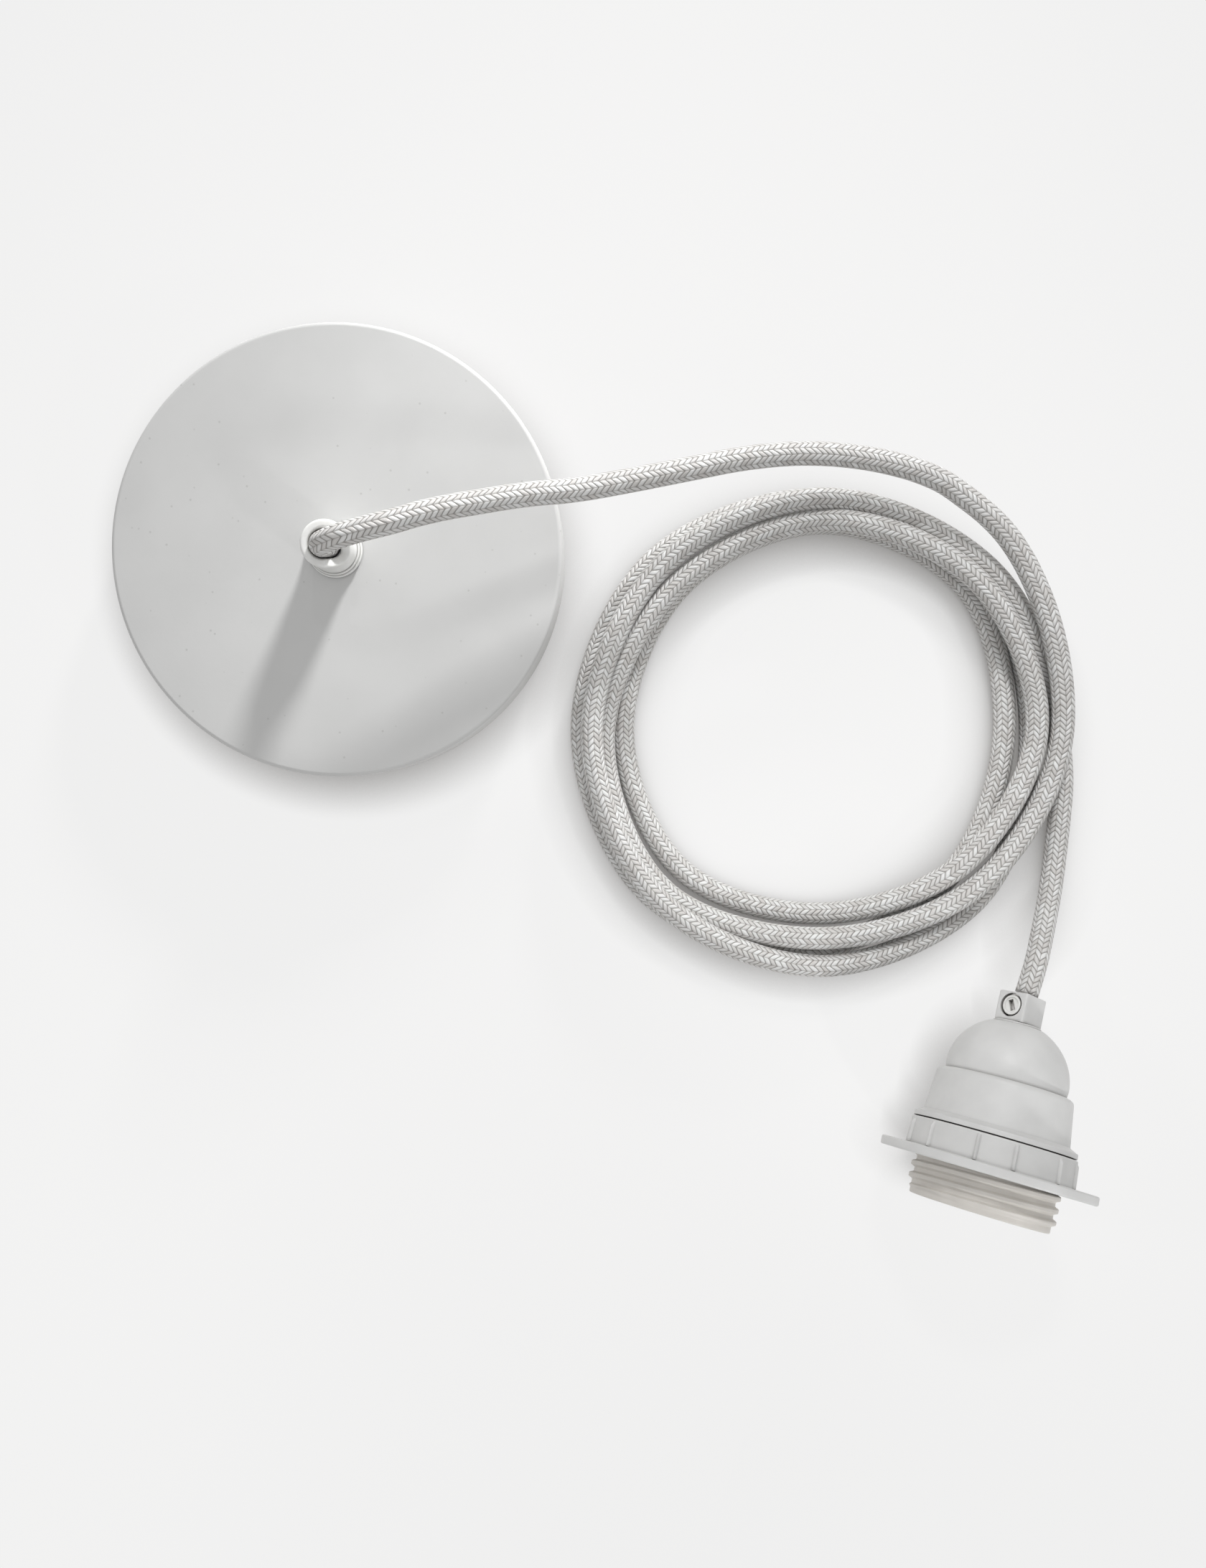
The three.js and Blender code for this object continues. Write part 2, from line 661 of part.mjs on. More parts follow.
// Insulating base: rim clamped between the cap's step and the skirt, plug in the skirt's neck
const rimEnd = rimTop + insulatorRim;
const plugEnd = neckTop + insulatorPlug;
const plugRadius = neckBore - clearance;
const baseHole = (x) => rod(clear(rivetRadius), rimTop - 1, plugEnd + 1, 12).translate(x, 0, 0);
add(holder, 'insulating_base', cut(turned([
  [0, rimTop],
  [neckRadius, rimTop],
  [neckRadius, rimEnd],
  [plugRadius, rimEnd],
  [plugRadius, plugEnd],
  [0, plugEnd],
], 28), baseHole(0), baseHole(-shellRivetAt)), porcelain);

// Screw shell: thin drawn sleeve whose walls follow the lamp thread, with a floor that has a hole
const shellTop = plugEnd + clearance;
const shellEnd = shellTop + shellLength;
const floorEnd = shellTop + shellWall;
const shellThread = {
  pitch: shellPitch,
  depth: 2 * shellWave,
  from: shellTop,
  to: shellEnd,
  fade: shellPitch / 2,
  start: 0,
};
const shellSpacing = shellPitch / 4;
const shellHole = rod(clear(rivetRadius), shellTop - 1, clear(floorEnd), 12).translate(-shellRivetAt, 0, 0);
add(holder, 'screw_shell', cut(threaded([
  [shellFloorHole, shellTop],
  ...threadedWall(shellOuter - shellWave, shellTop, shellEnd, shellSpacing),
  ...threadedWall(shellBore - shellWave, shellEnd, floorEnd, shellSpacing),
  [shellFloorHole, floorEnd],
], 26, shellThread), shellHole), nickel);

// Terminal plates, the rivets that tie them to the contact and the shell, screws and conductors
const plateEnd = rimTop - clearance;
const plateTop = plateEnd - terminalPlateThickness;
const headEnd = plateTop - conductorDiameter - 2 * clearance;
const headTopZ = headEnd - holderScrewHeadHeight;
const wireHeight = plateTop - clearance - wireRadius;
const wireAside = holderScrewShank + clearance + wireRadius;
const poles = [['live', 1, 0], ['neutral', -1, shellRivetAt]];
for (const [name, side, rivetAt] of poles) {
  const from = name === 'live' ? -terminalPlateInner : terminalPlateInner + 2 * terminalPlateThickness;
  const plateX = [side * from, side * terminalPlateOuter].sort((a, b) => a - b);
  const terminalPlate = box(...plateX, -terminalPlateWidth / 2, terminalPlateWidth / 2, plateTop, plateEnd);
  add(holder, `holder_terminal_${name}`, cut(terminalPlate,
    rod(clear(holderScrewShank), plateTop - 1, plateEnd + 1, 12).translate(side * holderScrewAt, 0, 0),
    rod(clear(rivetRadius), plateTop - 1, plateEnd + 1, 12).translate(side * rivetAt, 0, 0),
  ), brass);
  const slotCut = box(-screwSlotWidth / 2, screwSlotWidth / 2, -holderScrewHead * 2, holderScrewHead * 2,
    headTopZ - 1, headTopZ + screwSlotDepth);
  add(holder, `holder_screw_${name}`, cut(turned([
    [0, headTopZ],
    [holderScrewHead, headTopZ],
    [holderScrewHead, headEnd],
    [holderScrewShank, headEnd],
    [holderScrewShank, plateEnd],
    [0, plateEnd],
  ], 16), slotCut).translate(side * holderScrewAt, 0, 0), nickel);
  add(holder, `holder_wire_${name}`, cable([
    [side * conductorRing, 0, clear(tailEnd)],
    [side * conductorRing, 0.2, tailEnd + 1.8],
    [side * (conductorRing + 0.2), side * 3.2, headTopZ - 1.6],
    [side * (conductorRing + 0.6), side * 4.4, headEnd - 1],
    [side * (holderScrewAt - 3.2), side * 4.3, wireHeight - 0.2],
    [side * (holderScrewAt - 1), side * (wireAside + 0.2), wireHeight],
    [side * (holderScrewAt + 2), side * wireAside, wireHeight],
  ], conductorDiameter, 8, 12), name === 'live' ? insulationBlack : insulationWhite);
}

// Centre contact: brass tongue sprung up from the base, in one piece with its rivet
const tongue = new THREE.Shape();
const tongueFoot = clear(plugEnd);
const footEnd = -contactLength / 2;
const rise = tongueFoot + contactRise;
tongue.moveTo(footEnd, tongueFoot);
tongue.lineTo(-footEnd / 3, tongueFoot);
tongue.lineTo(-footEnd / 3, tongueFoot + contactThickness);
tongue.lineTo(footEnd + 1.6 * contactThickness, tongueFoot + contactThickness);
tongue.lineTo(footEnd / 2.6, rise);
tongue.lineTo(-footEnd / 2, rise + contactThickness);
tongue.lineTo(-footEnd / 2, rise + 2 * contactThickness);
tongue.lineTo(footEnd / 2.2, rise + contactThickness);
tongue.closePath();
const tongueSheet = new THREE.ExtrudeGeometry(tongue, { depth: contactWidth, bevelEnabled: false })
  .rotateX(Math.PI / 2)
  .translate(0, contactWidth / 2, 0);
const centreRivet = rod(rivetRadius, plateTop, tongueFoot + contactThickness / 2, 12);
add(holder, 'centre_contact', join(tongueSheet, centreRivet), brass);
const rivetShoulder = clear(floorEnd);
add(holder, 'shell_rivet', turned([
  [0, plateTop],
  [rivetRadius, plateTop],
  [rivetRadius, rivetShoulder],
  [rivetHead, rivetShoulder],
  [rivetHead, rivetShoulder + rivetHeadHeight],
  [0, rivetShoulder + rivetHeadHeight],
], 12).translate(-shellRivetAt, 0, 0), nickel);

// The lamp holder lies on its flange, its mouth tilted up
const heading = holderHeading * degree;
const tilt = holderTilt * degree;
const axis = new THREE.Vector3(
  -Math.sin(heading) * Math.cos(tilt),
  -Math.cos(heading) * Math.cos(tilt),
  Math.sin(tilt),
);
const across = new THREE.Vector3(Math.cos(heading), -Math.sin(heading), 0);
const over = new THREE.Vector3().crossVectors(axis, across);
const restHeight = Math.max(...ringProfile.map(([r, z]) => r * Math.cos(tilt) - z * Math.sin(tilt)));
holder.quaternion.setFromRotationMatrix(new THREE.Matrix4().makeBasis(across, over, axis));
const coilX = canopyRadius + coilGap + coilOuterRadius;
holder.position.set(coilX + holderFromCoil[0], coilAside + holderFromCoil[1], restHeight);
own.add(holder);

// Cord: the free stretch, the outer shape of the coil, and the stretch to the lamp holder
const upperCable = cable([[0, 0, clear(stubTop)], ...upperRoute], cordDiameter, cordSides, 34);
add(cords, 'cord_upper', upperCable, braid);
add(cords, 'cord_coil', turned([
  ...arc(coilInnerRadius + coilRound, coilRound, coilRound, coilRound, 180, 270, 2),
  ...arc(coilOuterRadius - coilRound, coilRound, coilRound, coilRound, 270, 360, 2),
  ...arc(coilOuterRadius - coilRound, coilHeight - coilRound, coilRound, coilRound, 0, 90, 2),
  ...arc(coilInnerRadius + coilRound, coilHeight - coilRound, coilRound, coilRound, 90, 180, 2),
], 44).translate(coilX, coilAside, 0), braid);
const blockFace = holder.position.clone();
const cordStop = blockFace.clone().addScaledVector(axis, -clearance);
const cordLead = blockFace.clone().addScaledVector(axis, -2 * cordDiameter);
const leaveRadius = coilOuterRadius + cordRadius + coilLift;
const leave = new THREE.Vector3(
  coilX + leaveRadius * Math.cos(lowerLeaves * degree),
  coilAside + leaveRadius * Math.sin(lowerLeaves * degree),
  lowerHeights[0],
);
const middle = leave.clone().lerp(cordLead, 0.5);
middle.x += lowerBow;
middle.z = lowerHeights[1];
add(cords, 'cord_lower', cable([leave, middle, cordLead, cordStop].map((p) => p.toArray()),
  cordDiameter, cordSides, 8), braid);

// Origin at the middle of the footprint of the canopy and the lamp holder, on the table
const set = new THREE.Group();
set.add(own, cords);
set.updateMatrixWorld(true);
const footprint = new THREE.Box3().setFromObject(own, true);
set.position.set(
  -(footprint.min.x + footprint.max.x) / 2,
  -(footprint.min.y + footprint.max.y) / 2,
  -footprint.min.z,
);

export default set;
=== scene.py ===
# Pendant cord set lying on a white table, seen from straight above: a white ceiling canopy,
# a light grey braided cord in a loose coil, and a white screw-type lamp holder.
import math

import bpy
import numpy as np
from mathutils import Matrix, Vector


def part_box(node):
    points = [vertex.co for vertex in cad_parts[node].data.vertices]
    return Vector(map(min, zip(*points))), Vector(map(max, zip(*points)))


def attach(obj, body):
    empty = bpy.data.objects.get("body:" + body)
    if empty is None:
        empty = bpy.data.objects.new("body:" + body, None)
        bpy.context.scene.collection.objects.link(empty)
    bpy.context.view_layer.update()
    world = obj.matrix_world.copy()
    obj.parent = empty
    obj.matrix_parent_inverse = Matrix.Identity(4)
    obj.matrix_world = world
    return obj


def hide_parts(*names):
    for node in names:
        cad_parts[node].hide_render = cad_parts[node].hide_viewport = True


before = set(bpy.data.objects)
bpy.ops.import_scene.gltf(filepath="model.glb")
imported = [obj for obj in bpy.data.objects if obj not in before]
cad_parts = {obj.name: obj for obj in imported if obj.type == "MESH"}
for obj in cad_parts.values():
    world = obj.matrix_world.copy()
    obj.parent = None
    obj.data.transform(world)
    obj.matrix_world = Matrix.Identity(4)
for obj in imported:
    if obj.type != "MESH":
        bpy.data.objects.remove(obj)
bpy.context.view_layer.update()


# Canopy
# A cup drawn from 0.9 mm sheet steel, its edge rounded by the die, then sprayed with white
# enamel and stoved. It stands on its cut rim, over the strap that fixes it to the ceiling.
mm = 0.001
degree = math.pi / 180

canopy_low, canopy_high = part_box("canopy")
canopy_x = (canopy_low[0] + canopy_high[0]) / 2
canopy_y = (canopy_low[1] + canopy_high[1]) / 2
canopy_radius = (canopy_high[0] - canopy_low[0]) / 2
canopy_height = canopy_high[2]
canopy_sheet = 0.9 * mm
canopy_edge = 1.3 * mm
canopy_crown = 0.7 * mm
canopy_cut = 0.2 * mm
canopy_hole = 5.15 * mm


def arc(centre, radii, start, stop, steps):
    """Points centre + (radii[0] cos t, radii[1] sin t) for t from start to stop degrees."""
    turn = np.linspace(start, stop, steps) * degree
    return np.stack([centre[0] + radii[0] * np.cos(turn), centre[1] + radii[1] * np.sin(turn)], 1)


def outline(*stretches):
    """A profile as an array of (radius, height), joined from points and stretches of points."""
    return np.concatenate([np.atleast_2d(np.asarray(stretch, float)) for stretch in stretches])


def grid_faces(rows, columns):
    """Quads (i, j), (i+1, j), (i+1, j+1), (i, j+1) of a grid that closes on itself both ways."""
    i, j = np.meshgrid(np.arange(rows), np.arange(columns), indexing="ij")
    next_i = (i + 1) % rows
    next_j = (j + 1) % columns
    corners = [i * columns + j, next_i * columns + j, next_i * columns + next_j, i * columns + next_j]
    return np.stack(corners, -1).reshape(-1, 4)


def turned(profile, sides, grow=None):
    """Surface (r cos t, r sin t, z) of a closed profile (r, z), t round the axis.

    grow(t, r, z), where given, is added to r, for threads and ribs.
    """
    t = np.arange(sides)[:, None] * 2 * math.pi / sides
    r, z = profile[None, :, 0], profile[None, :, 1]
    swell = 0 if grow is None else grow(t, r, z)
    points = np.stack([(r + swell) * np.cos(t), (r + swell) * np.sin(t), z + 0 * t], -1)
    return points.reshape(-1, 3), grid_faces(sides, len(profile))


def piece(name, points, faces, crease=35):
    """A mesh object with its place in its mesh, smooth except across edges sharper than crease."""
    mesh = bpy.data.meshes.new(name)
    mesh.from_pydata(points.tolist(), [], faces.tolist())
    mesh.shade_smooth()
    mesh.set_sharp_from_angle(angle=crease * degree)
    made = bpy.data.objects.new(name, mesh)
    bpy.context.scene.collection.objects.link(made)
    return made


def linear(code):
    """The linear colour of an sRGB hex code: c/12.92 below 0.04045, else ((c+0.055)/1.055)^2.4."""
    parts = np.array([int(code[k:k + 2], 16) / 255 for k in (1, 3, 5)])
    return tuple(np.where(parts <= 0.04045, parts / 12.92, ((parts + 0.055) / 1.055) ** 2.4)) + (1.0,)


def add(tree, kind, settings=None, **links):
    """Adds a node, sets its properties or sockets, and links the named sockets to other outputs."""
    node = tree.nodes.new(kind)
    for key, value in (settings or {}).items():
        if isinstance(key, str) and hasattr(node, key):
            setattr(node, key, value)
        else:
            node.inputs[key].default_value = value
    for key, output in links.items():
        place = int(key[1:]) if key[0] == "i" and key[1:].isdigit() else key.replace("_", " ")
        tree.links.new(output, node.inputs[place])
    return node


def material(name, code, roughness, metallic=0.0, ior=1.5, coat=0.0):
    """A principled material with its own colour, ready for a pattern to be added."""
    made = bpy.data.materials.new(name)
    made.use_nodes = True
    shader = made.node_tree.nodes["Principled BSDF"]
    shader.inputs["Base Color"].default_value = linear(code)
    shader.inputs["Roughness"].default_value = roughness
    shader.inputs["Metallic"].default_value = metallic
    shader.inputs["IOR"].default_value = ior
    shader.inputs["Coat Weight"].default_value = coat
    return made, made.node_tree, shader


def speckle(tree, shader, light, dark, patch, grain, depth):
    """Colour that drifts between two tones over patch mm, with a bump of grain mm and depth mm.

    Returns the coordinates and the ramp of tones, for a finish that adds more to them.
    """
    coordinates = add(tree, "ShaderNodeTexCoord").outputs["Object"]
    drift = add(tree, "ShaderNodeTexNoise", {"Scale": 1 / (patch * mm), "Detail": 3.0}, Vector=coordinates)
    tone = add(tree, "ShaderNodeValToRGB", None, Fac=drift.outputs["Fac"])
    tone.color_ramp.elements[0].position = 0.35
    tone.color_ramp.elements[1].position = 0.65
    tone.color_ramp.elements[0].color = linear(dark)
    tone.color_ramp.elements[1].color = linear(light)
    tree.links.new(tone.outputs["Color"], shader.inputs["Base Color"])
    fine = add(tree, "ShaderNodeTexNoise", {"Scale": 1 / (grain * mm), "Detail": 2.0}, Vector=coordinates)
    bump = add(tree, "ShaderNodeBump", {"Distance": depth * mm, "Strength": 1.0}, Height=fine.outputs["Fac"])
    tree.links.new(bump.outputs["Normal"], shader.inputs["Normal"])
    return coordinates, tone


def settle(made, finish, node):
    """Gives a new piece its finish, its body and the node that it replaces."""
    made.data.materials.clear()
    made.data.materials.append(finish)
    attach(made, "root")
    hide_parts(node)


def moved(points, x, y, z=0.0):
    """The points shifted by (x, y, z)."""
    return points + np.array([x, y, z])


# Stoved enamel is a satin film, so its lights are broad and soft. It has a faint orange peel
# about 1.2 mm wide, and specks of dust 4.5 mm apart that show as small dull dots.
enamel, tree, shader = material("stoved_white_enamel", "#CFCFCE", 0.5, coat=0.3)
shader.inputs["Coat Roughness"].default_value = 0.3
speck_spacing = 4.5 * mm
coordinates, tone = speckle(tree, shader, "#D0D0CF", "#CCCCCB", 22, 1.2, 0.012)
specks = add(tree, "ShaderNodeTexVoronoi", {"Scale": 1 / speck_spacing}, Vector=coordinates)
dot = add(tree, "ShaderNodeValToRGB", None, Fac=specks.outputs["Distance"])
dot.color_ramp.elements[0].position = 0.04
dot.color_ramp.elements[1].position = 0.09
dot.color_ramp.elements[0].color = linear("#BDBCBA")
dot.color_ramp.elements[1].color = (1.0, 1.0, 1.0, 1.0)
specked = add(tree, "ShaderNodeMix", {"data_type": "RGBA", "blend_type": "MULTIPLY", 0: 0.35},
              i6=tone.outputs["Color"], i7=dot.outputs["Color"])
tree.links.new(specked.outputs[2], shader.inputs["Base Color"])

corner = (canopy_radius - canopy_edge, canopy_height - canopy_crown - canopy_edge)
inner_edge = canopy_edge - canopy_sheet
canopy_profile = outline(
    (canopy_radius - canopy_sheet, 0),
    (canopy_radius - canopy_cut, 0),
    (canopy_radius, canopy_cut),
    arc(corner, (canopy_edge, canopy_edge), 0, 88, 14),
    (canopy_radius * 0.5, canopy_height - canopy_crown * 0.5),
    (canopy_hole, canopy_height),
    (canopy_hole, canopy_height - canopy_sheet),
    arc(corner, (inner_edge, inner_edge), 88, 0, 8),
)
points, faces = turned(canopy_profile, 256)
canopy = piece("canopy_cup", moved(points, canopy_x, canopy_y), faces)
settle(canopy, enamel, "canopy")


# Strap, nipple and terminals under the canopy
# A zinc plated strap, a threaded tube with its nut and washer, and a terminal block. They keep
# the plain stamped and turned shapes that the frame gives them, and only get their finishes.

# Bright zinc plate over pressed steel: blue-grey and softly shiny, in patches 3 mm wide
zinc, tree, shader = material("zinc_plated_steel", "#B9BCBF", 0.38, metallic=1.0)
speckle(tree, shader, "#C2C5C8", "#AEB1B5", 3, 0.6, 0.01)
# Steel passivated green, as earth screws are: a dull shine under a flat green
passivated, tree, shader = material("green_passivated_steel", "#3F7D4F", 0.45, metallic=0.6)
speckle(tree, shader, "#478A58", "#387048", 2, 0.6, 0.01)
# Drawn brass: yellow, with a soft shine and a faint cloud of handling
brass, tree, shader = material("drawn_brass", "#C9A85A", 0.32, metallic=1.0)
speckle(tree, shader, "#D1B166", "#BD9B4E", 2, 0.5, 0.008)
# Nickel plate on brass or steel: a warm silver, the brightest metal of the set
nickel, tree, shader = material("nickel_plate", "#C8C6C0", 0.28, metallic=1.0)
speckle(tree, shader, "#CFCDC8", "#BEBCB5", 3, 0.5, 0.006)
# Moulded polyamide: milky white and half matt, with a fine grain from its mould
polyamide, tree, shader = material("moulded_polyamide", "#E4E2DC", 0.5, ior=1.53)
speckle(tree, shader, "#E6E4DF", "#DEDCD5", 4, 0.4, 0.01)
# Extruded PVC on the wires: smooth, with the dull shine of soft plastic
black_pvc, tree, shader = material("black_pvc", "#2B2B2C", 0.45, ior=1.54)
speckle(tree, shader, "#303031", "#262627", 4, 0.5, 0.01)
white_pvc, tree, shader = material("white_pvc", "#E9E8E4", 0.45, ior=1.54)
speckle(tree, shader, "#ECEBE8", "#E2E1DC", 4, 0.5, 0.01)

plain_finishes = {
    zinc: ["mounting_strap", "hollow_nipple", "lock_washer", "lock_nut"],
    passivated: ["earth_screw"],
    brass: ["terminal_tube_live", "terminal_tube_neutral"],
    nickel: [
        "terminal_screw_live_1", "terminal_screw_live_2", "terminal_screw_neutral_1",
        "terminal_screw_neutral_2", "terminal_block_screw",
    ],
    polyamide: ["terminal_block"],
    black_pvc: ["supply_wire_live"],
    white_pvc: ["supply_wire_neutral"],
}


def dress(finishes):
    """Puts each finish on its frame nodes."""
    for finish, names in finishes.items():
        for name in names:
            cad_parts[name].data.materials.clear()
            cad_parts[name].data.materials.append(finish)


dress(plain_finishes)


# Canopy cord grip
# Turned and milled from white nylon: a stepped ring on the canopy, and a barrel on the nipple
# whose rim is scooped on one side, so that the cord can bend over. A nylon screw pinches it.


def paint_hollow_shade(tree, shader, reach, dark):
    """Paints shade into hollows: multiplies the colour by a ramp over the open share of the space within
    reach mm.

    The ramp runs from dark, where a quarter is open, to white, where nearly all is.
    """
    colour = shader.inputs["Base Color"].links[0].from_socket
    open_share = add(tree, "ShaderNodeAmbientOcclusion", {"Distance": reach * mm, "samples": 12})
    hollow_shade_ramp = add(tree, "ShaderNodeValToRGB", None, Fac=open_share.outputs["AO"])
    hollow_shade_ramp.color_ramp.elements[0].position = 0.25
    hollow_shade_ramp.color_ramp.elements[1].position = 0.92
    hollow_shade_ramp.color_ramp.elements[0].color = linear(dark)
    hollow_shade_ramp.color_ramp.elements[1].color = (1.0, 1.0, 1.0, 1.0)
    darker = add(tree, "ShaderNodeMix", {"data_type": "RGBA", "blend_type": "MULTIPLY", 0: 1.0},
                 i6=colour, i7=hollow_shade_ramp.outputs["Color"])
    tree.links.new(darker.outputs[2], shader.inputs["Base Color"])


# Turned nylon: the whitest piece, a little waxy in its lights, with painted grey shade in slots and corners
nylon, tree, shader = material("white_nylon", "#EBEBE9", 0.3, ior=1.53, coat=0.2)
shader.inputs["Coat Roughness"].default_value = 0.15
speckle(tree, shader, "#EEEEEC", "#E6E6E3", 3, 0.5, 0.006)
paint_hollow_shade(tree, shader, 1.6, "#7C7A76")

ring_bottom, ring_top = (corner_point[2] for corner_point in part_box("grip_base_ring"))
ring_radius = 7.35 * mm
ring_step = 0.55 * mm
soft = 0.25 * mm
ring_middle = (ring_bottom + ring_top) / 2
ring_profile = outline(
    (canopy_hole, ring_bottom),
    (ring_radius, ring_bottom),
    arc((ring_radius - soft, ring_middle - soft), (soft, soft), 0, 90, 5),
    (ring_radius - ring_step, ring_middle),
    arc((ring_radius - ring_step - soft, ring_top - soft), (soft, soft), 0, 90, 5),
    (canopy_hole, ring_top),
)
points, faces = turned(ring_profile, 96)
base_ring = piece("grip_step_ring", moved(points, canopy_x, canopy_y), faces)
settle(base_ring, nylon, "grip_base_ring")

barrel_bottom, barrel_top = (corner_point[2] for corner_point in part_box("grip_barrel"))
barrel_radius = 6.3 * mm
barrel_hole = 3.9 * mm
barrel_lip = 0.8 * mm
scoop_angle = -35
scoop_half_width = 62
scoop_depth = 4.6 * mm
seat_height = 29.2 * mm


def scooped(profile, sides):
    """Turned surface whose top sinks by depth * cos^2(90 d / half width), d from the scoop's middle.

    The sinking grows with height above the seat, so that the foot of the barrel stays flat.
    """
    points, faces = turned(profile, sides)
    angle = np.arctan2(points[:, 1], points[:, 0]) / degree
    away = np.clip(np.abs((angle - scoop_angle + 180) % 360 - 180) / scoop_half_width, 0, 1)
    share = np.clip((points[:, 2] - seat_height) / (barrel_top - seat_height), 0, 1)
    points[:, 2] -= scoop_depth * np.cos(away * math.pi / 2) ** 2 * share
    return points, faces


barrel_profile = outline(
    (canopy_hole, barrel_bottom),
    (barrel_radius, barrel_bottom),
    np.stack([np.full(6, barrel_radius), np.linspace(seat_height, barrel_top - barrel_lip, 6)], 1),
    arc((barrel_radius - barrel_lip, barrel_top - barrel_lip), (barrel_lip, barrel_lip), 15, 90, 6),
    arc((barrel_hole + barrel_lip, barrel_top - barrel_lip), (barrel_lip, barrel_lip), 90, 180, 6),
    (barrel_hole, seat_height + 0.1 * mm),
    (canopy_hole, seat_height),
)
points, faces = scooped(barrel_profile, 128)
barrel = piece("grip_scooped_barrel", moved(points, canopy_x, canopy_y), faces)
settle(barrel, nylon, "grip_barrel")
dress({nylon: ["grip_screw"]})


# Cord
# Two insulated wires in a round sleeve of light grey yarn, braided in a herringbone. It rises
# from the grip, bends over, sweeps down across the coil and winds into it four times.
cord_diameter = 6.1 * mm
sleeve_diameter = 6.35 * mm
cord_step = 1.3 * mm
cord_sides = 28

# The free stretch: x, y from the canopy's middle and height, in millimetres
free_route = [
    (0, 0, 29.5),
    (-0.3, -0.1, 32.3),
    (-0.6, -0.3, 34.8),
    (0.4, -0.5, 38.0),
    (3.6, 0.2, 41.2),
    (8.4, 1.5, 42.9),
    (16.8, 3.4, 43.8),
    (28.8, 6.9, 42.8),
    (40.8, 9.5, 40.6),
    (52.8, 11.8, 38.2),
    (65.1, 13.4, 35.8),
    (80.0, 16.5, 32.8),
    (95.1, 19.9, 30.2),
    (110.4, 23.2, 27.8),
    (125.9, 24.9, 25.6),
    (139.6, 24.5, 23.8),
    (152.5, 22.4, 22.2),
    (163.6, 18.8, 20.8),
    (172.4, 13.3, 19.6),
    (179.0, 8.3, 18.6),
    (183.5, 3.7, 17.8),
    (190.0, -5.9, 16.4),
    (194.7, -15.5, 14.9),
    (198.2, -25.3, 13.2),
    (200.6, -35.2, 11.4),
]

# The coil: the radius of each turn, and the height of its middle, at eight places clockwise
coil_centre = (135.3, -49.3)
turn_radii = [
    (66.5, 61.5, 58.5, 64.0, 62.5, 59.0, 59.0, 58.5),
    (59.5, 54.0, 52.5, 56.5, 57.0, 58.0, 59.5, 58.0),
    (52.5, 55.5, 62.5, 68.2, 69.0, 68.8, 66.0, 64.0),
    (60.0, 66.0, 66.5, 66.5, 66.0, 65.5, 65.0, 64.0),
]
turn_heights = [
    (9.4, 9.4, 9.0, 4.6, 5.8, 9.3, 9.3, 13.5),
    (9.4, 9.4, 3.1, 3.1, 3.1, 3.1, 3.1, 3.1),
    (3.1, 3.1, 3.1, 3.1, 3.1, 3.1, 3.1, 4.3),
    (3.1, 3.1, 8.0, 9.3, 9.6, 9.3, 9.3, 9.6),
]

# The last stretch, from under the coil up to the lamp holder
tail_route = [
    (203.2, -52.0, 3.1),
    (204.3, -62.0, 3.1),
    (203.7, -76.2, 3.1),
    (202.9, -84.9, 3.3),
    (201.1, -95.5, 5.0),
    (198.2, -106.0, 8.0),
]

# The lamp holder's place: its cord end and its axis, from the heading and tilt it lies at
holder_heading = 16.7 * degree
holder_tilt = 15.2 * degree
holder_start = np.array([190.5, -123.1, 15.16])
holder_axis = np.array([
    -math.sin(holder_heading) * math.cos(holder_tilt),
    -math.cos(holder_heading) * math.cos(holder_tilt),
    math.sin(holder_tilt),
])

coil_points = [
    (
        coil_centre[0] + radius * math.cos(-45 * place * degree),
        coil_centre[1] + radius * math.sin(-45 * place * degree),
        height,
    )
    for radii, heights in zip(turn_radii, turn_heights)
    for place, (radius, height) in enumerate(zip(radii, heights))
]
# Two points lead the cord to the lamp holder: how far back along its axis and how far aside, in mm
lead = [
    tuple(holder_start - holder_axis * back + np.array([aside, 0, 0]))
    for back, aside in ((7, 1.5), (0.3, 0.8))
]
route = np.array(free_route + coil_points + tail_route + lead) * mm


def spline(points, step):
    """Smooth curve through unevenly spaced points, sampled again at equal steps of its length.

    Each chord h has Hermite ends p, q and slopes m: (1+2t)(1-t)^2 p + t(1-t)^2 h m + t^2(3-2t) q
    - t^2(1-t) h n. A slope is the mean of the chords beside it, each weighed by the other's length.
    """
    ends = np.vstack([2 * points[0] - points[1], points, 2 * points[-1] - points[-2]])
    chord = np.linalg.norm(np.diff(ends, axis=0), axis=1)[:, None]
    way = np.diff(ends, axis=0) / chord
    slope = (way[:-1] * chord[1:] + way[1:] * chord[:-1]) / (chord[:-1] + chord[1:])
    p, q, m, n = points[:-1, None], points[1:, None], slope[:-1, None], slope[1:, None]
    h = chord[1:-1, None]
    t = np.linspace(0, 1, 24, endpoint=False)[None, :, None]
    curve = ((1 + 2 * t) * (1 - t) ** 2 * p + t * (1 - t) ** 2 * h * m
             + t**2 * (3 - 2 * t) * q - t**2 * (1 - t) * h * n)
    curve = np.vstack([curve.reshape(-1, 3), points[-1]])
    along = np.concatenate([[0], np.cumsum(np.linalg.norm(np.diff(curve, axis=0), axis=1))])
    places = np.linspace(0, along[-1], int(round(along[-1] / step)) + 1)
    return np.stack([np.interp(places, along, curve[:, k]) for k in range(3)], 1)


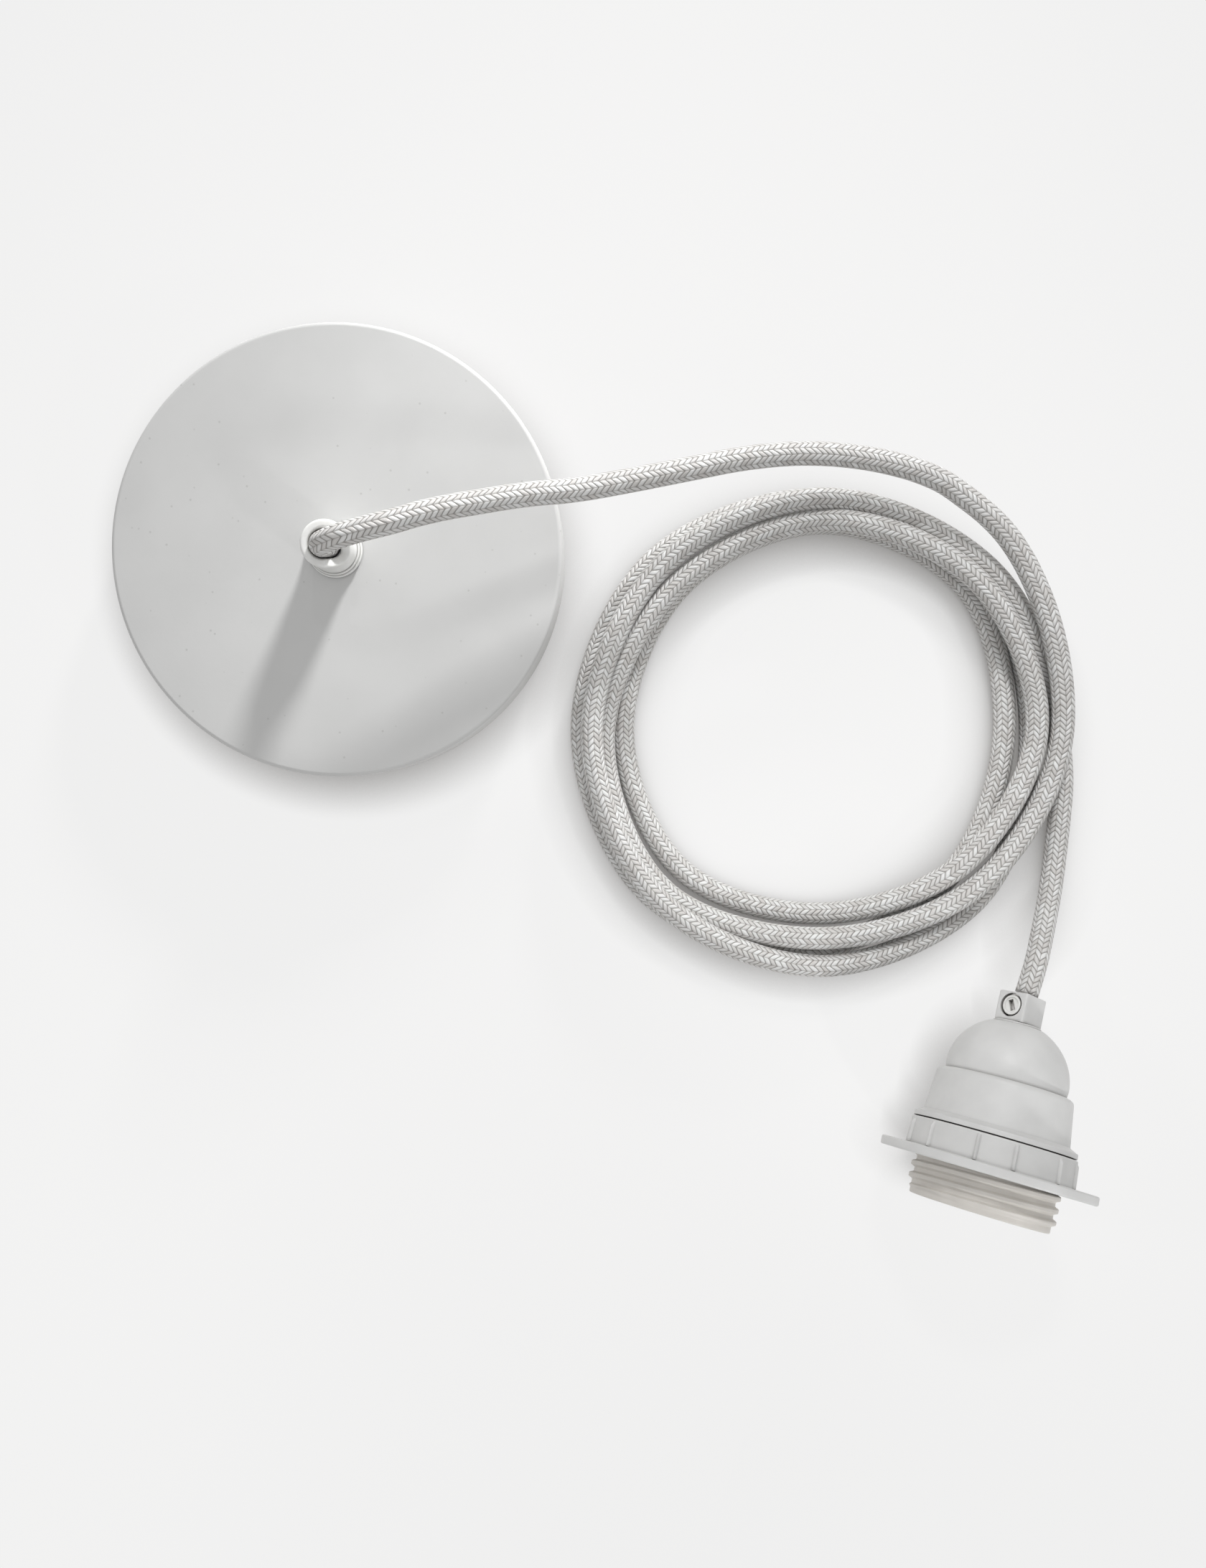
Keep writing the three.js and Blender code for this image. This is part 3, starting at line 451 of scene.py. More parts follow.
def bedded(points, diameter, step, rounds, free_start, held_end):
    """Lifts crossing strands apart, like a stiff cord laid down by hand.

    Strands h apart seen from above need sqrt(d^2 - h^2) between their heights. Each round moves
    both halfway to that, averages the moves with their neighbours' and keeps all off the table.
    The free start and the held end, given as lengths, don't move, and next to them the moves
    fade in. Points less than three diameters apart along the cord are one strand.
    """
    fade = 30 * mm
    count = len(points)
    index = np.arange(count)
    start = points[:, 2]
    apart = np.abs(index[:, None] - index[None, :]) * step > 3 * diameter
    flat = np.linalg.norm(points[:, None, :2] - points[None, :, :2], axis=2)
    need = np.sqrt(np.clip(diameter**2 - flat**2, 0, None)) * apart
    near = np.argwhere(need > 0)
    need = need[near[:, 0], near[:, 1]]
    beyond = np.minimum(index * step - free_start, (count - 1 - index) * step - held_end)
    free = np.clip(beyond / fade, 0, 1)
    move = np.zeros(count)
    for _ in range(rounds):
        z = start + move
        gap = z[near[:, 0]] - z[near[:, 1]]
        push = np.where(np.abs(gap) < need, (need - np.abs(gap)) * np.where(gap >= 0, 1, -1), 0) / 2
        lift = np.zeros(count)
        np.maximum.at(lift, near[:, 0], push)
        drop = np.zeros(count)
        np.minimum.at(drop, near[:, 0], push)
        move = move + 0.5 * free * (lift + drop)
        for _ in range(2):
            move[1:-1] = (move[:-2] + 2 * move[1:-1] + move[2:]) / 4
        move = np.maximum(move, diameter / 2 - start) * (free > 0)
    return np.column_stack([points[:, :2], start + move])


bed_step = 2.5 * mm
bed_rounds = 500
free_length = 215 * mm
held_length = 30 * mm
route = spline(route, bed_step)
route = bedded(route, cord_diameter, bed_step, bed_rounds, free_length, held_length)
cord_path = spline(np.vstack([route[:-1:3], route[-1:]]), cord_step)
cord_path[:, 2] = np.maximum(cord_path[:, 2], sleeve_diameter / 2)
cord_path = cord_path + np.array([canopy_x, canopy_y, 0])


def sleeve(path, diameter, sides):
    """Tube path(s) + (d/2)(cos t N(s) + sin t B(s)), N and B carried along without twist.

    Each N is the last one less its part along the new tangent. The ends are left open.
    """
    tangent = np.gradient(path, axis=0)
    tangent /= np.linalg.norm(tangent, axis=1)[:, None]
    normal = np.zeros_like(path)
    guide = np.cross(tangent[0], [0, 1, 0])
    for k, way in enumerate(tangent):
        guide = guide - way * (guide @ way)
        guide = guide / np.linalg.norm(guide)
        normal[k] = guide
    side = np.cross(tangent, normal)
    t = np.arange(sides)[None, :, None] * 2 * math.pi / sides
    rings = path[:, None] + diameter / 2 * (np.cos(t) * normal[:, None] + np.sin(t) * side[:, None])
    rows = len(path)
    i, j = np.meshgrid(np.arange(rows - 1), np.arange(sides), indexing="ij")
    next_j = (j + 1) % sides
    here, after = i * sides, (i + 1) * sides
    walls = np.stack([here + j, here + next_j, after + next_j, after + j], -1)
    return rings.reshape(-1, 3), walls.reshape(-1, 4)


points, walls = sleeve(cord_path, sleeve_diameter, cord_sides)
rings = len(cord_path)
# A flat face closes each end, where the cord goes into a grip. In the UV, U runs once round, and
# V is the length in metres.
caps = [list(range(cord_sides))[::-1], [(rings - 1) * cord_sides + k for k in range(cord_sides)]]
cord_mesh = bpy.data.meshes.new("braided_cord")
cord_mesh.from_pydata(points.tolist(), [], walls.tolist() + caps)
cord_mesh.shade_smooth()
wrap = cord_mesh.uv_layers.new(name="braid")
ring_of = np.repeat(np.arange(rings - 1), cord_sides)
side_of = np.tile(np.arange(cord_sides), rings - 1)
u = np.stack([side_of, side_of + 1, side_of + 1, side_of], 1) / cord_sides
v = np.stack([ring_of, ring_of, ring_of + 1, ring_of + 1], 1) * cord_step
braid_uv = np.zeros((len(cord_mesh.loops), 2))
braid_uv[:u.size, 0] = u.reshape(-1)
braid_uv[:u.size, 1] = v.reshape(-1)
wrap.data.foreach_set("uv", braid_uv.reshape(-1))
cord = bpy.data.objects.new("braided_cord", cord_mesh)
bpy.context.scene.collection.objects.link(cord)

# Braided rayon yarn: slanted stitches, 1.65 mm apart along the cord, lie in twelve columns that
# lean left and right in turn, so the eye sees chevrons with silky light and dull dark stitches.
# The pull of the braid varies, so the rows wander by up to a fifth of a stitch over 5 mm.
yarn, tree, shader = material("braided_rayon", "#C6C4C0", 0.44, ior=1.53)
shader.inputs["Sheen Weight"].default_value = 0.25
shader.inputs["Sheen Roughness"].default_value = 0.4
stitch_columns = 12
stitch_pitch = 1.65 * mm
stitch_slant = 0.95
stitch_relief = 0.35 * mm
wander_length = 5 * mm
wander_share = 0.9
thread_turns = 34.0  # radians across a stitch, for its five or six threads
thread_relief = 0.07


def reckon(operation, first, second=0.0):
    """A math node on two values, each a number or an output."""
    node = add(tree, "ShaderNodeMath", {"operation": operation})
    for place, value in enumerate((first, second)):
        if isinstance(value, (int, float)):
            node.inputs[place].default_value = value
        else:
            tree.links.new(value, node.inputs[place])
    return node.outputs[0]


weave = add(tree, "ShaderNodeUVMap", {"uv_map": "braid"})
split = add(tree, "ShaderNodeSeparateXYZ", None, Vector=weave.outputs["UV"])
column = reckon("MULTIPLY", split.outputs["X"], float(stitch_columns))
column_number = reckon("FLOOR", column)
across = reckon("SUBTRACT", reckon("FRACT", column), 0.5)
lean = reckon("SUBTRACT", reckon("MULTIPLY", reckon("MODULO", column_number, 2.0), 2.0), 1.0)
slanted = reckon("MULTIPLY", reckon("MULTIPLY", across, lean), stitch_slant)
pull = add(tree, "ShaderNodeTexNoise", {"Scale": 1 / wander_length, "Detail": 1.0},
           Vector=add(tree, "ShaderNodeTexCoord").outputs["Object"])
wander = reckon("MULTIPLY", reckon("SUBTRACT", pull.outputs["Fac"], 0.5), wander_share)
run = reckon("ADD", reckon("ADD", reckon("DIVIDE", split.outputs["Y"], stitch_pitch), slanted), wander)
stitch_number = reckon("FLOOR", run)
beside = reckon("SUBTRACT", reckon("FRACT", run), 0.5)
from_middle = reckon("ABSOLUTE", reckon("MULTIPLY", beside, 2.0))
round_along = reckon("SUBTRACT", 1.0, reckon("POWER", from_middle, 2.4))
from_ridge = reckon("ABSOLUTE", reckon("MULTIPLY", across, 2.0))
round_across = reckon("SUBTRACT", 1.0, reckon("POWER", from_ridge, 3.0))
height = reckon("MULTIPLY", round_along, reckon("ADD", reckon("MULTIPLY", round_across, 0.7), 0.3))
threads = reckon("MULTIPLY", reckon("SINE", reckon("MULTIPLY", beside, thread_turns)), thread_relief)
relief = reckon("ADD", height, threads)
place_of = add(tree, "ShaderNodeCombineXYZ", None, X=column_number, Y=stitch_number)
chance = add(tree, "ShaderNodeTexWhiteNoise", {"noise_dimensions": "2D"}, Vector=place_of.outputs[0])
tint = add(tree, "ShaderNodeValToRGB", None, Fac=chance.outputs["Value"])
tint.color_ramp.elements[0].color = linear("#D4D1CE")
tint.color_ramp.elements[1].color = linear("#EFEFEE")
# Painted shade: the low gaps between the stitches are coloured darker
painted_gap_shade = add(tree, "ShaderNodeValToRGB", None, Fac=height)
painted_gap_shade.color_ramp.elements[0].position = 0.05
painted_gap_shade.color_ramp.elements[1].position = 0.6
painted_gap_shade.color_ramp.elements[0].color = linear("#A6A39F")
painted_gap_shade.color_ramp.elements[1].color = (1.0, 1.0, 1.0, 1.0)
colour = add(tree, "ShaderNodeMix", {"data_type": "RGBA", "blend_type": "MULTIPLY", 0: 1.0},
             i6=tint.outputs["Color"], i7=painted_gap_shade.outputs["Color"])
tree.links.new(colour.outputs[2], shader.inputs["Base Color"])
bump = add(tree, "ShaderNodeBump", {"Distance": stitch_relief, "Strength": 1.0}, Height=relief)
tree.links.new(bump.outputs["Normal"], shader.inputs["Normal"])

cord.data.materials.append(yarn)
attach(cord, "root")
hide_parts("cord_upper", "cord_coil", "cord_lower")

# Inside the canopy and the lamp holder the same yarn lies hidden, so its stitches are plain there.
hidden_yarn, tree, shader = material("hidden_rayon_yarn", "#D8D6D3", 0.65, ior=1.53)
speckle(tree, shader, "#E4E2E0", "#BDBAB6", 1.2, 0.6, 0.15)
dress({hidden_yarn: ["cord_end_in_canopy", "cord_end_in_holder"]})


# Lamp holder cap
# The back half of the lamp holder, moulded from matt white thermoplastic: a dome with a flat
# top for the cord grip, a shoulder, a skirt and a lip that the shade ring is screwed up to.

# Moulded thermoplastic: an even, half matt white with soft lights, and painted shade in its corners
thermoplastic, tree, shader = material("moulded_thermoplastic", "#D6D6D5", 0.45, ior=1.54)
speckle(tree, shader, "#DBDBDA", "#D4D4D3", 9, 0.7, 0.01)
paint_hollow_shade(tree, shader, 1.2, "#A09E9B")

holder_origin = np.array([canopy_x, canopy_y, 0]) + holder_start * mm
holder_across = np.array([math.cos(holder_heading), -math.sin(holder_heading), 0])
holder_over = np.cross(holder_axis, holder_across)


def lying(points):
    """Points of the upright lamp holder carried to where it lies: o + x across + y over + z axis."""
    return holder_origin + points @ np.stack([holder_across, holder_over, holder_axis])


def smooth(value, low, high):
    """Smooth step 3 t^2 - 2 t^3 from 0 at low to 1 at high."""
    t = np.clip((value - low) / (high - low), 0, 1)
    return t * t * (3 - 2 * t)


cap_hole = 5.15 * mm
dome_flat = 6.4 * mm
dome_radius = 16.4 * mm
dome_top = 8.5 * mm
dome_centre = 23.0 * mm
shoulder_top = 24.9 * mm
shoulder_round = 1.6 * mm
skirt_top = 27.3 * mm
lip_top = 37.2 * mm
cap_end = 39.7 * mm
cap_wall = 2.0 * mm
cap_bore = 16.9 * mm
shoulder_radius = 16.75 * mm
skirt_foot = 19.45 * mm
lip_radius = 21.7 * mm
lip_round = 0.4 * mm
dome_height = (dome_centre - dome_top) / math.sqrt(1 - (dome_flat / dome_radius) ** 2)
dome_start = math.acos(dome_flat / dome_radius) / degree
inside = (dome_radius - cap_wall, dome_height - cap_wall)
cap_profile = outline(
    (cap_hole, dome_top - 0.2 * mm),
    (dome_flat - 0.1 * mm, dome_top - 0.2 * mm),
    (dome_flat + 0.1 * mm, dome_top),
    (dome_flat + 0.1 * mm, dome_top + 0.3 * mm),
    arc((0, dome_centre), (dome_radius, dome_height), -dome_start + 4, 0, 26),
    (shoulder_radius - 0.6 * mm, shoulder_top - 0.1 * mm),
    (shoulder_radius - 0.45 * mm, shoulder_top),
    arc((shoulder_radius, shoulder_top + shoulder_round), (shoulder_round, shoulder_round), -90, 0, 8),
    (skirt_foot, lip_top),
    (skirt_foot + 0.3 * mm, lip_top + 0.25 * mm),
    (lip_radius - 0.5 * mm, lip_top + 1.0 * mm),
    arc((lip_radius - lip_round, lip_top + 1.0 * mm + lip_round), (lip_round, lip_round), -60, 0, 4),
    (lip_radius, cap_end - 0.1 * mm),
    (lip_radius - 0.1 * mm, cap_end),
    (cap_bore, cap_end),
    (cap_bore, skirt_top),
    (inside[0], skirt_top),
    arc((0, dome_centre), inside, 0, -math.acos(cap_hole / inside[0]) / degree, 14),
)
points, faces = turned(cap_profile, 160)
cap = piece("cap_shell", lying(points), faces, 30)
settle(cap, thermoplastic, "holder_cap")


# Cord grip block on the cap
# A square block of the same plastic with a threaded tail in the cap's top. The cord passes
# through it, and a slotted nylon screw in a round well on one face pinches the cord.
block_half = 4.6 * mm
block_length = 8.2 * mm
block_bore = 3.4 * mm
block_turn = 57.5
block_edge = 0.35 * mm
tail_radius = 4.85 * mm
tail_end = 13.6 * mm
well_radius = 3.35 * mm
well_floor = 2.0 * mm
well_open = 6 * mm
near_axis = 0.01 * mm
screw_height = 3.8 * mm

# Along the block: height, radius of a round part, and share of the square
block_stations = np.array([
    (0.9 * mm, block_bore, 0),
    (0, block_bore + 0.6 * mm, 0),
    (0, -block_edge, 1),
    (0.3 * block_edge, -0.3 * block_edge, 1),
    (block_edge, 0, 1),
    (block_length - block_edge, 0, 1),
    (block_length - 0.3 * block_edge, -0.3 * block_edge, 1),
    (block_length, -block_edge, 1),
    (block_length, tail_radius, 0),
    (tail_end, tail_radius, 0),
    (tail_end, block_bore, 0),
])


def square_block(stations, sides):
    """Radius round + share * half / (|cos t|^20 + |sin t|^20)^(1/20) at the height of each station.

    That is a square with rounded corners where the share is 1, and a circle where it is 0.
    """
    t = np.arange(sides)[:, None] * 2 * math.pi / sides
    square = block_half / (np.abs(np.cos(t)) ** 20 + np.abs(np.sin(t)) ** 20) ** (1 / 20)
    height, round_part, share = stations.T
    rims = round_part + share * square
    points = np.stack([rims * np.cos(t), rims * np.sin(t), np.broadcast_to(height, rims.shape)], -1)
    return points.reshape(-1, 3), grid_faces(sides, len(stations))


def spun(points, turn):
    """Points turned about the Z axis by an angle in degrees."""
    c, s = math.cos(turn * degree), math.sin(turn * degree)
    return points @ np.array([[c, s, 0], [-s, c, 0], [0, 0, 1]])


def on_face(points):
    """Points made along Z carried to the block's screw face: Z to the face's outward normal."""
    return spun(moved(points[:, [0, 2, 1]] * [-1, 1, 1], 0, 0, screw_height), block_turn)


def carved(made, points, faces, crease):
    """Cuts a closed shape out of a piece, and shades the result smooth up to the crease angle."""
    cutter = piece("cutter", points, faces)
    carve = made.modifiers.new("carve", "BOOLEAN")
    carve.operation = "DIFFERENCE"
    carve.solver = "EXACT"
    carve.object = cutter
    finished = made.evaluated_get(bpy.context.evaluated_depsgraph_get())
    made.data = bpy.data.meshes.new_from_object(finished)
    made.modifiers.clear()
    made.data.shade_smooth()
    made.data.set_sharp_from_angle(angle=crease * degree)
    bpy.data.objects.remove(cutter)


points, faces = square_block(block_stations, 192)
block = piece("grip_block", lying(spun(points, block_turn)), faces, 25)
well_profile = outline(
    (near_axis, well_floor),
    (well_radius, well_floor),
    (well_radius, well_open),
    (near_axis, well_open),
)
points, faces = turned(well_profile, 64)
carved(block, lying(on_face(points)), faces, 25)
settle(block, thermoplastic, "holder_grip_block")

# The screw: a rounded rim, a dished middle and a short slot that lies askew
screw_radius = 2.85 * mm
screw_dish = 2.05 * mm
screw_top = 4.45 * mm
screw_round = 0.3 * mm
slot_half = np.array([0.75, 1.6, 1.6]) * mm
slot_turn = 25
screw_profile = outline(
    (near_axis, well_floor + 0.1 * mm),
    (screw_radius, well_floor + 0.1 * mm),
    arc((screw_radius - screw_round, screw_top - screw_round), (screw_round, screw_round), 0, 90, 5),
    (screw_dish + 0.15 * mm, screw_top),
    (screw_dish, screw_top - 0.25 * mm),
    (near_axis, screw_top - 0.3 * mm),
)
points, faces = turned(screw_profile, 64)
screw = piece("pinch_screw", lying(on_face(points)), faces, 30)
slot_box = np.array([(x, y, z) for x in (-1, 1) for y in (-1, 1) for z in (-1, 1)], float) * slot_half
slot_box = moved(spun(slot_box, slot_turn), 0, 0, screw_top)
slot_faces = np.array([
    (0, 1, 3, 2), (4, 6, 7, 5), (0, 4, 5, 1), (2, 3, 7, 6), (0, 2, 6, 4), (1, 5, 7, 3),
])
carved(screw, lying(on_face(slot_box)), slot_faces, 30)
settle(screw, nylon, "holder_grip_screw")


# Threaded skirt
# The front half of the lamp holder: a neck inside the cap, then a coarse rounded thread that
# the shade ring runs on, and a plain open end round the lamp.
collar_top = 40.0 * mm
mouth = 60.15 * mm
skirt_root = 18.5 * mm
skirt_bore = 16.3 * mm
neck_radius = 16.6 * mm
neck_bore = 14.6 * mm
neck_top = 29.9 * mm
thread_pitch = 3.2 * mm
thread_depth = 1.1 * mm
thread_start = 68
thread_from = 40.3 * mm
thread_to = 58.95 * mm
thread_fade = 1.6 * mm
skirt_edge = 0.4 * mm


def thread_wave(t, z):
    """Right-hand thread: the smooth step of 0.5 + 0.5 cos(2 pi z / pitch - (t - start))."""
    wave = 0.5 + 0.5 * np.cos(2 * math.pi * z / thread_pitch - (t - thread_start * degree))
    return smooth(wave, 0.2, 0.85)


def skirt_thread(t, r, z):
    """Thread depth times its wave, on the outer wall only, fading in and out at the ends."""
    begins = smooth(z, thread_from, thread_from + thread_fade)
    stops = 1 - smooth(z, thread_to - thread_fade, thread_to)
    outer = (np.abs(r - skirt_root) < 0.01 * mm) & (z > collar_top)
    return np.where(outer, thread_depth * thread_wave(t, z) * begins * stops, 0)


skirt_profile = outline(
    (neck_bore, neck_top),
    (neck_radius, neck_top),
    (neck_radius, collar_top),
    (skirt_root - 0.05 * mm, collar_top),
    np.stack([np.full(120, skirt_root), np.linspace(collar_top + 0.05 * mm, mouth - skirt_edge, 120)], 1),
    arc((skirt_root - skirt_edge, mouth - skirt_edge), (skirt_edge, skirt_edge), 30, 90, 4),
    (skirt_bore + 0.3 * mm, mouth),
    (skirt_bore, mouth - 0.3 * mm),
    (skirt_bore, collar_top + cap_wall),
    (neck_bore, collar_top),
)
points, faces = turned(skirt_profile, 192, skirt_thread)
skirt = piece("thread_skirt", lying(points), faces, 40)

# A warmer, slightly duller white than the cap, painted in for the warm shade and bounced light on the
# thread, so the thread looks creamy beside it
painted_thread_shade_plastic, tree, shader = material("thermoplastic_with_painted_warm_shade", "#D0CCC6", 0.5, ior=1.54)
speckle(tree, shader, "#D8D4CE", "#D0CCC6", 9, 0.7, 0.01)
settle(skirt, painted_thread_shade_plastic, "threaded_skirt")


# Shade ring
# A moulded ring with a collar that has thin ribs for the fingers and a flat flange, screwed on
# the skirt up to the cap's lip. A shade rests on the flange.
collar_radius = 22.0 * mm
collar_foot = 22.3 * mm
flange_top = 47.4 * mm
flange_end = 49.9 * mm
flange_radius = 28.75 * mm
flange_edge = 0.55 * mm
ring_bore = 18.8 * mm
rib_pairs = 6
rib_first = 66
rib_wide_step = 35
rib_half_width = 0.5 * mm
rib_height = 0.75 * mm
collar_edge = 0.4 * mm


def ring_form(t, r, z):
    """Thin ribs height * (1 - (d / half width)^2) on the collar, and the thread in the bore."""
    turn = 2 * math.pi / rib_pairs
    ribs = 0
    for offset in (0, -rib_wide_step):
        middle = (90 + rib_first + offset) * degree
        away = ((t - middle + turn / 2) % turn - turn / 2) * r / rib_half_width
        ribs = ribs + np.clip(1 - away**2, 0, 1)
    begins = smooth(z, collar_top + 0.5 * mm, collar_top + 0.9 * mm)
    on_collar = begins * (r > collar_radius - 0.5 * mm) * (r < collar_foot + 0.2 * mm)
    bore = np.abs(r - ring_bore) < 0.01 * mm
    return rib_height * ribs * on_collar + np.where(bore, thread_depth * thread_wave(t, z), 0)


ring_profile = outline(
    (ring_bore, collar_top),
    (collar_radius - collar_edge, collar_top),
    arc((collar_radius - collar_edge, collar_top + collar_edge), (collar_edge, collar_edge), -60, 0, 4),
    np.stack([np.linspace(collar_radius, collar_foot, 8),
              np.linspace(collar_top + 0.6 * mm, flange_top - 0.5 * mm, 8)], 1),
    arc((collar_foot + collar_edge, flange_top - collar_edge), (collar_edge, collar_edge), 180, 90, 4)[1:],
    (flange_radius - flange_edge, flange_top),
    arc((flange_radius - flange_edge, flange_top + flange_edge), (flange_edge, flange_edge), -60, 0, 5),
    arc((flange_radius - flange_edge, flange_end - flange_edge), (flange_edge, flange_edge), 0, 90, 6),
    (ring_bore + 0.02 * mm, flange_end),
    np.stack([np.full(24, ring_bore), np.linspace(flange_end, collar_top + 0.3 * mm, 24)], 1),
)
points, faces = turned(ring_profile, 720, ring_form)
ring = piece("ribbed_shade_ring", lying(points), faces, 32)
settle(ring, thermoplastic, "shade_ring")


# Socket inside the lamp holder
# A ceramic base holds a thin nickel plated screw shell and a brass tongue for the lamp's
# centre contact. Terminal plates and screws on its back hold the two wires of the cord.

# Glazed porcelain: an ivory white with a glassy coat, whose lights are small and sharp
ceramic, tree, shader = material("glazed_porcelain", "#F0EDE6", 0.25, ior=1.54, coat=0.5)
speckle(tree, shader, "#F2EFE9", "#EAE6DE", 5, 0.8, 0.01)

shell_top = 36.2 * mm
shell_end = 56.8 * mm
shell_bore = 12.48 * mm
shell_wall = 0.5 * mm
shell_wave = 0.84 * mm
shell_pitch = 3.6 * mm
shell_hole = 8.5 * mm


def shell_thread(t, r, z):
    """Wave depth * (0.5 + 0.5 cos(2 pi z / pitch - t)) on both walls, fading at the ends."""
    begins = smooth(z, shell_top + shell_wall, shell_top + shell_pitch)
    stops = 1 - smooth(z, shell_end - 1.8 * mm, shell_end)
    wave = 0.5 + 0.5 * np.cos(2 * math.pi * z / shell_pitch - t)
    return np.where(r > shell_bore - 0.01 * mm, shell_wave * wave * begins * stops, 0)


shell_profile = outline(
    (shell_hole, shell_top),
    np.stack([np.full(90, shell_bore + shell_wall), np.linspace(shell_top, shell_end, 90)], 1),
    np.stack([np.full(90, shell_bore), np.linspace(shell_end, shell_top + shell_wall, 90)], 1),
    (shell_hole, shell_top + shell_wall),
)
points, faces = turned(shell_profile, 120, shell_thread)
shell = piece("lamp_shell", lying(points), faces, 50)
settle(shell, nickel, "screw_shell")
dress({
    ceramic: ["insulating_base"],
    brass: ["centre_contact", "holder_terminal_live", "holder_terminal_neutral"],
    nickel: ["shell_rivet", "holder_screw_live", "holder_screw_neutral"],
    black_pvc: ["holder_wire_live"],
    white_pvc: ["holder_wire_neutral"],
})


# Table, light and camera
# A plain white table under an even sky. A low lamp rakes across the canopy, a high one lights
# the coil and the holder, and three weak ones pick out edges. The camera hangs 354 mm above.
low_way = (0.40, 0.92)
table_size = 8
table_sunk = 0.05 * mm
touch_reach = 14 * mm
touch_lean = 1.9
table_glow = 1.055
glow_share = 0.85
sky_level = 0.54


def seen_rays(tree):
    """1 for the rays that show a surface to the eye: straight, by a gloss or through clear stuff."""
    path = add(tree, "ShaderNodeLightPath")
    both = add(tree, "ShaderNodeMath", {"operation": "MAXIMUM"}, i0=path.outputs["Is Camera Ray"],
               i1=path.outputs["Is Glossy Ray"])
    return add(tree, "ShaderNodeMath", {"operation": "MAXIMUM"}, i0=both.outputs[0],
               i1=path.outputs["Is Transmission Ray"]).outputs[0]


bpy.ops.mesh.primitive_plane_add(size=table_size, location=(0, 0, -table_sunk))
table = bpy.context.object
table.name = "table"

# Matt white paint. To the eye it glows as an evenly lit white sweep does, and it darkens where
# a piece stands close on the side that the low lamp comes from, as in a soft contact shadow.
paint = bpy.data.materials.new("matt_white_paint")
paint.use_nodes = True
tree = paint.node_tree
tree.nodes.clear()
matt = add(tree, "ShaderNodeBsdfDiffuse", {"Color": linear("#DEDCD9")})
leaning = add(tree, "ShaderNodeCombineXYZ", {"X": low_way[0], "Y": low_way[1], "Z": touch_lean})
unit = add(tree, "ShaderNodeVectorMath", {"operation": "NORMALIZE"}, i0=leaning.outputs[0])
near = add(tree, "ShaderNodeAmbientOcclusion", {"Distance": touch_reach, "samples": 12},
           Normal=unit.outputs[0])
touch = add(tree, "ShaderNodeValToRGB", None, Fac=near.outputs["AO"])
touch.color_ramp.elements[0].position = 0.15
touch.color_ramp.elements[1].position = 0.96
touch.color_ramp.elements[0].color = linear("#807E7C")
touch.color_ramp.elements[1].color = linear("#F3F3F3")
glow = add(tree, "ShaderNodeEmission", {"Strength": table_glow}, Color=touch.outputs["Color"])
seen = add(tree, "ShaderNodeMath", {"operation": "MULTIPLY", 1: glow_share}, i0=seen_rays(tree))
mixed = add(tree, "ShaderNodeMixShader", None, i0=seen.outputs[0], i1=matt.outputs[0],
            i2=glow.outputs[0])
add(tree, "ShaderNodeOutputMaterial", None, Surface=mixed.outputs[0])
table.data.materials.append(paint)

# An even white sky lights the set, and the eye sees the pale backdrop in its place
world = bpy.data.worlds.new("white_room")
bpy.context.scene.world = world
world.use_nodes = True
tree = world.node_tree
tree.nodes.clear()
sky = add(tree, "ShaderNodeBackground", {"Color": (1.0, 1.0, 1.0, 1.0), "Strength": sky_level})
backdrop = add(tree, "ShaderNodeBackground", {"Color": linear("#F3F3F3"), "Strength": 1.0})
mixed = add(tree, "ShaderNodeMixShader", None, i0=seen_rays(tree), i1=sky.outputs[0],
            i2=backdrop.outputs[0])
add(tree, "ShaderNodeOutputWorld", None, Surface=mixed.outputs[0])


